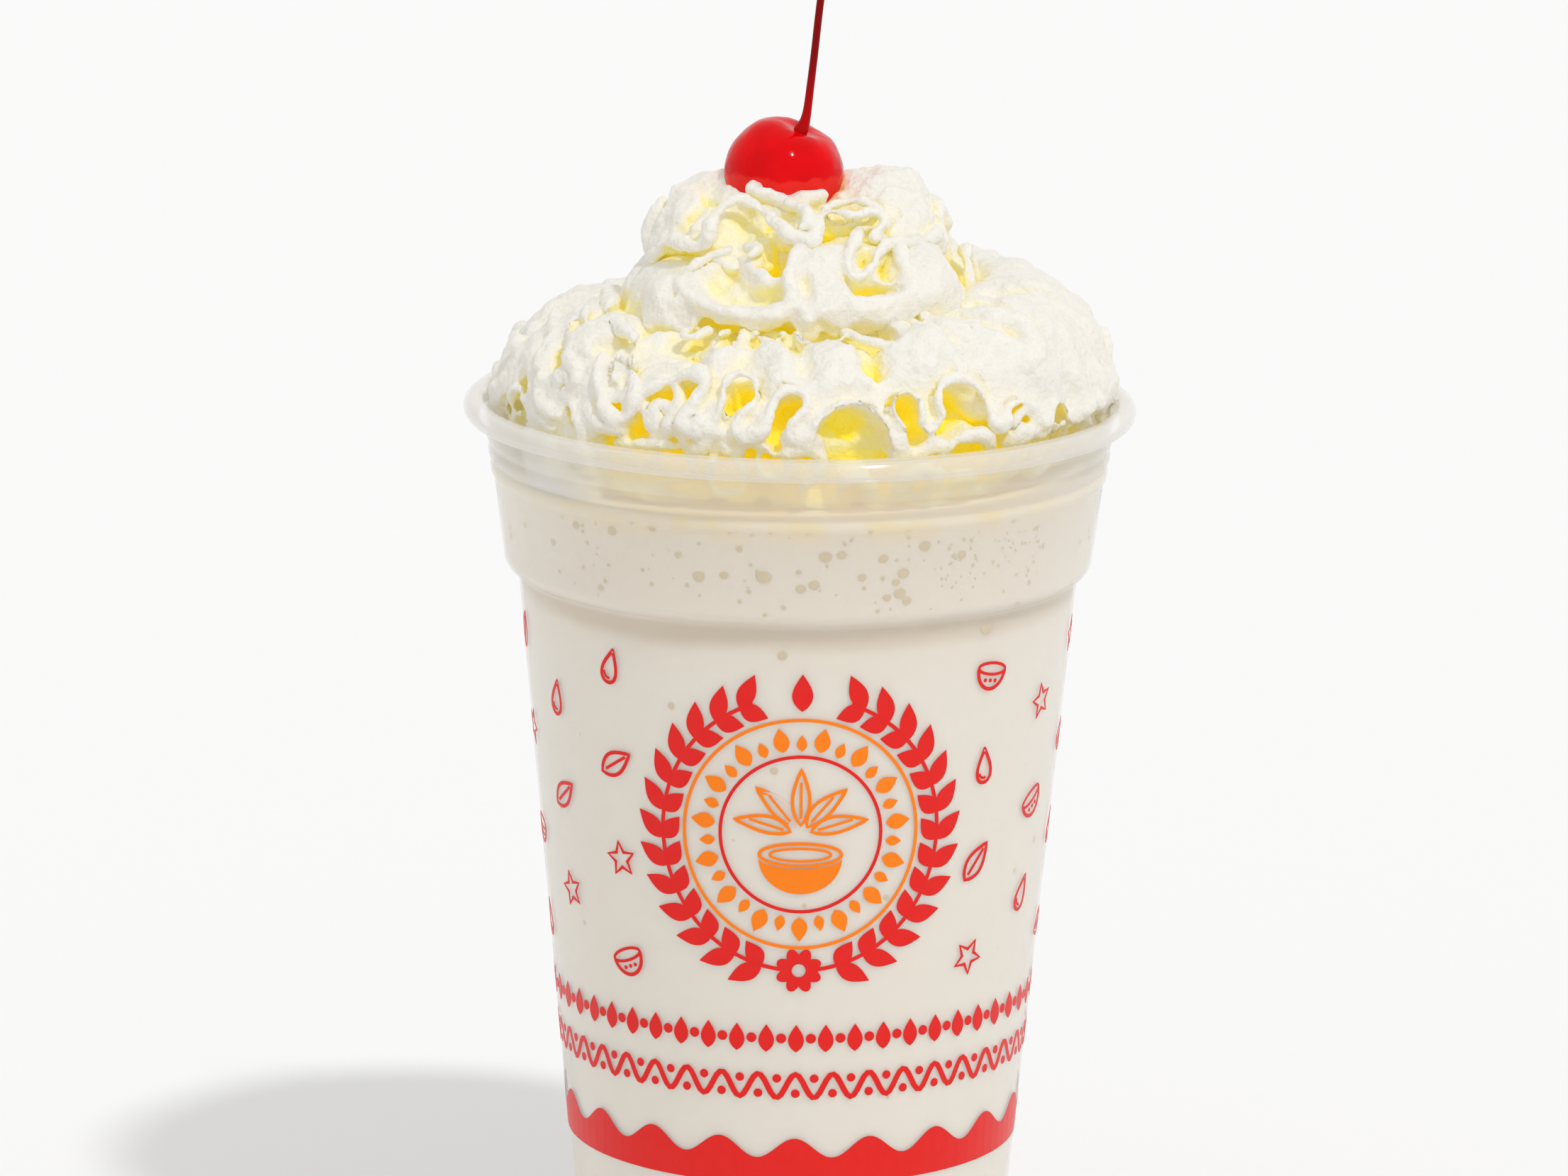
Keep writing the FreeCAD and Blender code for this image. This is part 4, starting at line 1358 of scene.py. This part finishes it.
# %% Top turn
top_slopes = [(2.0, -60), (2.2, 0), (2.5, -5), (3.1, -5)]
top_hem = np.concatenate([
    folded_line(2.0, top_front[0, 0] - 0.008, top_slopes, 11.0, 1.5, 0.2, 41),
    top_front,
    folded_line(top_front[-1, 0] + 0.008, 3.15, top_slopes, 11.0, 1.2, 0.2, 43)])
top_parts = [
    skin("top_skin", 2.0, 3.08, top_hem, 5.0, [(2, 5)], top_pockets, top_pads),
    bead("top_bead", top_hem, 0.95, 0.2),
]
for size, strand in top_strands:
    top_parts.append(bead("top_strand", strand, size, 0.7))
    top_parts.append(sheet_behind("top_sheet", strand, 4.0, 0.7 * size))
top_parts.append(core(8, 10, 18))
top = fused("cream_top_turn", top_parts, 0.33, 2, 130000, [(6, 1.8), (3, 0.9), (1.4, 0.35)])

# %% [markdown]
# ## The three turns together
# Each turn is fitted into the cup, gets its depths, and is tied to the drink's body. All three
# stand for the cream of the construction.

# %% Three turns
for turn_piece, start, end in ((lowest, 0.0, 1.3), (middle, 1.15, 2.15), (top, 2.0, 3.1)):
    keep_inside_cup(turn_piece)
    mark_depth(turn_piece, start, end)
    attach(turn_piece, "root")
    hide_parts("whipped_cream")
print("cream faces", sum(len(piece.data.polygons) for piece in (lowest, middle, top)))

# %% [markdown]
# ## Cream's finish
# Whipped cream is almost white, but light that gets into a narrow fold bounces between its
# sides and comes out a strong butter yellow; here that yellow is painted light. An Ambient
# Occlusion node measures how shut-in a point is, the stored depths say how far down it lies, and
# close to the lip in front more painted yellow stands for the shake's own yellow shining up. The
# sum of these picks the painted yellow from a ramp, and a second ramp paints, as emission, the
# faint glow of light that has wandered through the cream.

# %% Cream finish
cream_finish = Finish("cream")
open_to_light = cream_finish.node(
    "ShaderNodeAmbientOcclusion", {"samples": 8}, {"Distance": 6 * MM}, output=1)
depth = cream_finish.node("ShaderNodeAttribute", {"attribute_name": "depth"}, output=2)
over_lip = cream_finish.along_axis(2) - cup_height
near_lip = cream_finish.run(over_lip, 0.5 * MM, 7 * MM, 1.0, 0.0)
sideways = cream_finish.along_axis(0)
in_front = cream_finish.run(sideways * sideways, (26 * MM) ** 2, (39 * MM) ** 2, 1.0, 0.0)
# Painted light: extra yellow under the lip and in shut-in places, stronger in front.
painted_light_below_lip = cream_finish.run(over_lip, -1.5 * MM, 0.5 * MM, 0.18 + 0.1 * in_front, 0.0)
shaded = cream_finish.run(over_lip, -1 * MM, 1.5 * MM, 0.38 + 0.32 * in_front, 0.8)
painted_yellow_amount = (0.075 + 0.035 * near_lip) * depth + shaded * (1 - open_to_light) + painted_light_below_lip
# Painted light: the yellow stops of this ramp stand for light bounced in folds and hollows.
tint = cream_finish.ramp(painted_yellow_amount, [
    (0.14, colour(238, 234, 225)), (0.32, colour(245, 240, 223)), (0.55, colour(247, 239, 198)),
    (0.8, colour(250, 238, 156)), (1.0, colour(250, 229, 84))])
# Painted glow: emission for light that has wandered through the cream.
painted_glow = cream_finish.ramp(painted_yellow_amount, [
    (0.15, colour(0, 0, 0)), (0.32, colour(80, 79, 77)), (0.55, colour(90, 89, 74)),
    (0.8, colour(124, 120, 56)), (1.0, colour(184, 168, 10))])
grain = cream_finish.bump(cream_finish.noise(1.0 * MM, 5.0), 0.9, 0.55 * MM)
cream_material = cream_finish.surface(
    Base_Color=tint, Normal=grain, Roughness=0.55, Emission_Color=painted_glow, Emission_Strength=0.4,
    Subsurface_Weight=0.4, Subsurface_Radius=(2.2, 2.0, 1.6), Subsurface_Scale=MM)
for turn_piece in (lowest, middle, top):
    coat(turn_piece, cream_material)
print("cream finish with", len(cream_finish.tree.nodes), "nodes")

# %% [markdown]
# ## The cherry
# A candied cherry is a ball with a dimple round its stem, a shoulder round the dimple and a
# faint waist. A fine ball is pushed in and out by a soft formula for each and turned to its lean.
# By hand one would pull the top vertex down with proportional editing.

# %% Cherry
cherry_middle = np.array([-2.8, -1.0, lip_top + 32.4]) * MM
cherry_radius = 8.6 * MM
cherry_lean = Matrix.Rotation(math.radians(8), 4, "X") @ Matrix.Rotation(math.radians(20), 4, "Y")
bpy.ops.mesh.primitive_uv_sphere_add(segments=128, ring_count=96, radius=cherry_radius)
cherry = bpy.context.object
cherry.name = "cherry_ball"
for vertex in cherry.data.vertices:
    up = vertex.co.z / cherry_radius
    round_angle = math.atan2(vertex.co.y, vertex.co.x)
    from_stem = math.acos(max(-1.0, min(1.0, up)))
    dimple = 0.17 * math.exp(-(from_stem / 0.36) ** 2)
    shoulder = 0.025 * math.exp(-((from_stem - 0.85) / 0.35) ** 2)
    waist = 0.012 * math.cos(2 * round_angle) * math.sin(from_stem) ** 2
    vertex.co *= 1 - dimple + shoulder + waist - 0.02 * max(0.0, -up)
    vertex.co = cherry_lean @ vertex.co + Vector(cherry_middle)
only(cherry)
roughen(cherry, 5, 0.5)
bpy.ops.object.shade_smooth()
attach(cherry, "root")
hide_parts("cherry")
print("cherry with", len(cherry.data.polygons), "faces")

# %% [markdown]
# ## The cherry's finish
# The flesh takes almost no white sheen from the room, so its red stays deep, and the lamp leaves
# one small sharp spark. A darker red towards the rim, where the ball is seen edge-on, is painted
# shade. Low down a paler red is a painted reflection of the cream, with a wobbly edge that noise
# on the height gives.

# %% Cherry finish
candied = Finish("candied_cherry")
flesh = candied.ramp(candied.noise(5 * MM, 1.0), [(0.35, colour(214, 0, 6)), (0.65, colour(230, 0, 8))])
# Painted shade: darker red where the ball is seen edge-on.
painted_rim_shade = candied.node("ShaderNodeLayerWeight", {}, {"Blend": 0.5}, output=1)
flesh = candied.mix(0.6 * (painted_rim_shade * painted_rim_shade * painted_rim_shade * painted_rim_shade), flesh, colour(150, 0, 8))
# Painted reflection of the cream on the ball's lower part.
wobbly = candied.along_axis(2) + 2.6 * MM * candied.noise(2.4 * MM, 1.0)
shine_top = cherry_middle[2] + 2.2 * MM
painted_cream_reflection = candied.run(wobbly, cherry_middle[2] + 1.7 * MM, shine_top, 0.7, 0.0)
flesh = candied.mix(painted_cream_reflection, flesh, colour(236, 50, 40))
coat(cherry, candied.surface(Base_Color=flesh, Roughness=0.09, Specular_IOR_Level=0.1))
print("cherry finish with", len(candied.tree.nodes), "nodes")

# %% [markdown]
# ## The stem
# The stem is a row of rings along a gently bent line: wide where it grows out of the dimple,
# thin along its length, and with a small knob where it broke off the twig.

# %% Stem
stem_way = [
    # right, height over the cherry's middle, thickness: mm
    (1.9, 5.2, 1.9), (2.3, 6.4, 2.1), (2.75, 7.4, 1.9), (3.1, 8.4, 1.5), (3.4, 10.0, 1.25),
    (3.75, 13.0, 1.15), (4.3, 18.0, 1.1), (4.9, 24.0, 1.1), (5.6, 30.0, 1.1), (6.5, 37.0, 1.15),
    (7.3, 42.0, 1.35), (7.7, 43.6, 2.0), (7.85, 44.3, 1.8),
]
stem_line = smooth_way(stem_way)
middle_line = np.stack([
    cherry_middle[0] / MM + stem_line[:, 0],
    cherry_middle[1] / MM - 1.1 + 0.02 * stem_line[:, 1],
    cherry_middle[2] / MM + stem_line[:, 1]], axis=1)
ahead = np.gradient(middle_line, axis=0)
ahead /= np.linalg.norm(ahead, axis=1)[:, None]
side = np.cross(ahead, [0, 1.0, 0])
side /= np.linalg.norm(side, axis=1)[:, None]
front = np.cross(side, ahead)
angles = np.radians(np.arange(0, 360, 15))[None, :, None]
thickness = (stem_line[:, 2] / 2)[:, None, None]
stem = skin_mesh("stem", middle_line[:, None] + thickness * (
    np.cos(angles) * side[:, None] + np.sin(angles) * front[:, None]))
only(stem)
bpy.ops.object.shade_smooth()
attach(stem, "root")
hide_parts("cherry_stem")
print("stem up to", round(middle_line[-1, 2], 1), "mm")

# %% [markdown]
# ## The stem's finish
# The stem has soaked up the same syrup as the cherry. It is bright red where it leaves the ball
# and soon turns dark, with a thin gloss.

# %% Stem finish
stalk = Finish("stem_skin")
low_end = cherry_middle[2] + 9 * MM
stem_tint = stalk.ramp(
    40 * (stalk.along_axis(2) - low_end), [(0.0, colour(176, 0, 3)), (0.35, colour(128, 4, 6))])
coat(stem, stalk.surface(Base_Color=stem_tint, Roughness=0.2, Specular_IOR_Level=0.08))
print("stem finish with", len(stalk.tree.nodes), "nodes")

# %% [markdown]
# ## Air bubbles
# Small bubbles of air are caught between the shake and the wall, most of them in the neck. Each
# is a ball flattened against the wall. The large ones in front are listed one by one, the rest
# fall anywhere inside a few bands, with more small ones than large.

# %% Places for the bubbles
random = np.random.default_rng(7)
bubble_places = [
    # degrees round, height, radius: the large ones that show in front
    (233, 130.0, 0.8), (242, 131.2, 0.6), (259, 129.2, 0.5), (263.5, 125.4, 1.15), (251, 124.8, 0.9),
    (256, 125.2, 0.65), (270.5, 123.6, 0.75), (273, 124.2, 0.8), (275, 128.4, 0.95), (278, 128.6, 0.7),
    (282, 125.2, 0.65), (286, 127.9, 0.7), (290, 125.6, 0.9), (288.6, 124.2, 0.6), (289.5, 122.6, 0.9),
    (287, 122.0, 0.6), (291, 121.4, 0.7), (294, 129.4, 0.9), (302, 127.5, 0.7), (247, 127.6, 0.5),
    (267, 113.2, 0.75), (312, 115.4, 1.2), (243, 104.5, 0.55), (318, 118.6, 0.5), (229, 121.0, 0.5),
]
smallest = 0.15
bubble_bands = [
    # lowest and highest, first and last degrees round, how many, largest radius
    (119.5, 132.0, 225, 330, 75, 0.4), (119.5, 131.0, -30, 225, 110, 0.8),
    (122, 130, 296, 325, 60, 0.3), (60.0, 113.0, 0, 360, 45, 0.6), (20.0, 60.0, 0, 360, 25, 0.5),
]
for low, high, first_deg, last_deg, count, largest in bubble_bands:
    for _ in range(count):
        bubble_places.append((
            random.uniform(first_deg, last_deg), random.uniform(low, high),
            smallest + (largest - smallest) * random.random() ** 2))
print("places for", len(bubble_places), "bubbles")

# %% [markdown]
# ## The bubbles
# All balls are made round, squeezed to a tenth of a millimetre, moved to the shake's surface and
# joined. Their darker tan, which runs at random between two tones, is painted shade of each
# bubble's hollow.

# %% Bubbles
flat_depth = 0.1
bubbles = []
for degrees_round, height, radius in bubble_places:
    bpy.ops.mesh.primitive_uv_sphere_add(segments=12, ring_count=8, radius=1, location=(0, 0, 0))
    bubble = bpy.context.object
    bubble.data.transform(
        Matrix.Rotation(math.radians(degrees_round), 4, "Z")
        @ Matrix.Translation((shake_radius_at(height * MM), 0, height * MM))
        @ Matrix.Diagonal((flat_depth * MM, radius * MM, radius * MM, 1)))
    bubbles.append(bubble)
bubbles = joined("bubbles", bubbles)
bpy.ops.object.shade_smooth()
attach(bubbles, "root")
air = Finish("air_bubble")
# Painted shade: the tan stands for the shade inside each bubble.
painted_bubble_shade = air.mix(air.noise(1.5 * MM), colour(198, 173, 114), colour(214, 191, 134))
coat(bubbles, air.surface(Base_Color=painted_bubble_shade, Roughness=0.4))
print("bubbles", len(bubbles.data.polygons), "faces")

# %% [markdown]
# ## Sizes, and the end
# The sizes of the construction and of what was built here are put side by side in one table,
# and the height of the looks is printed.

# %% Sizes, and the end
size = {"cad": [list(v) for v in cad_box], "visual": [list(v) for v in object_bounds()]}
print("height of the looks", round(size["visual"][1][2] / MM, 1), "mm")
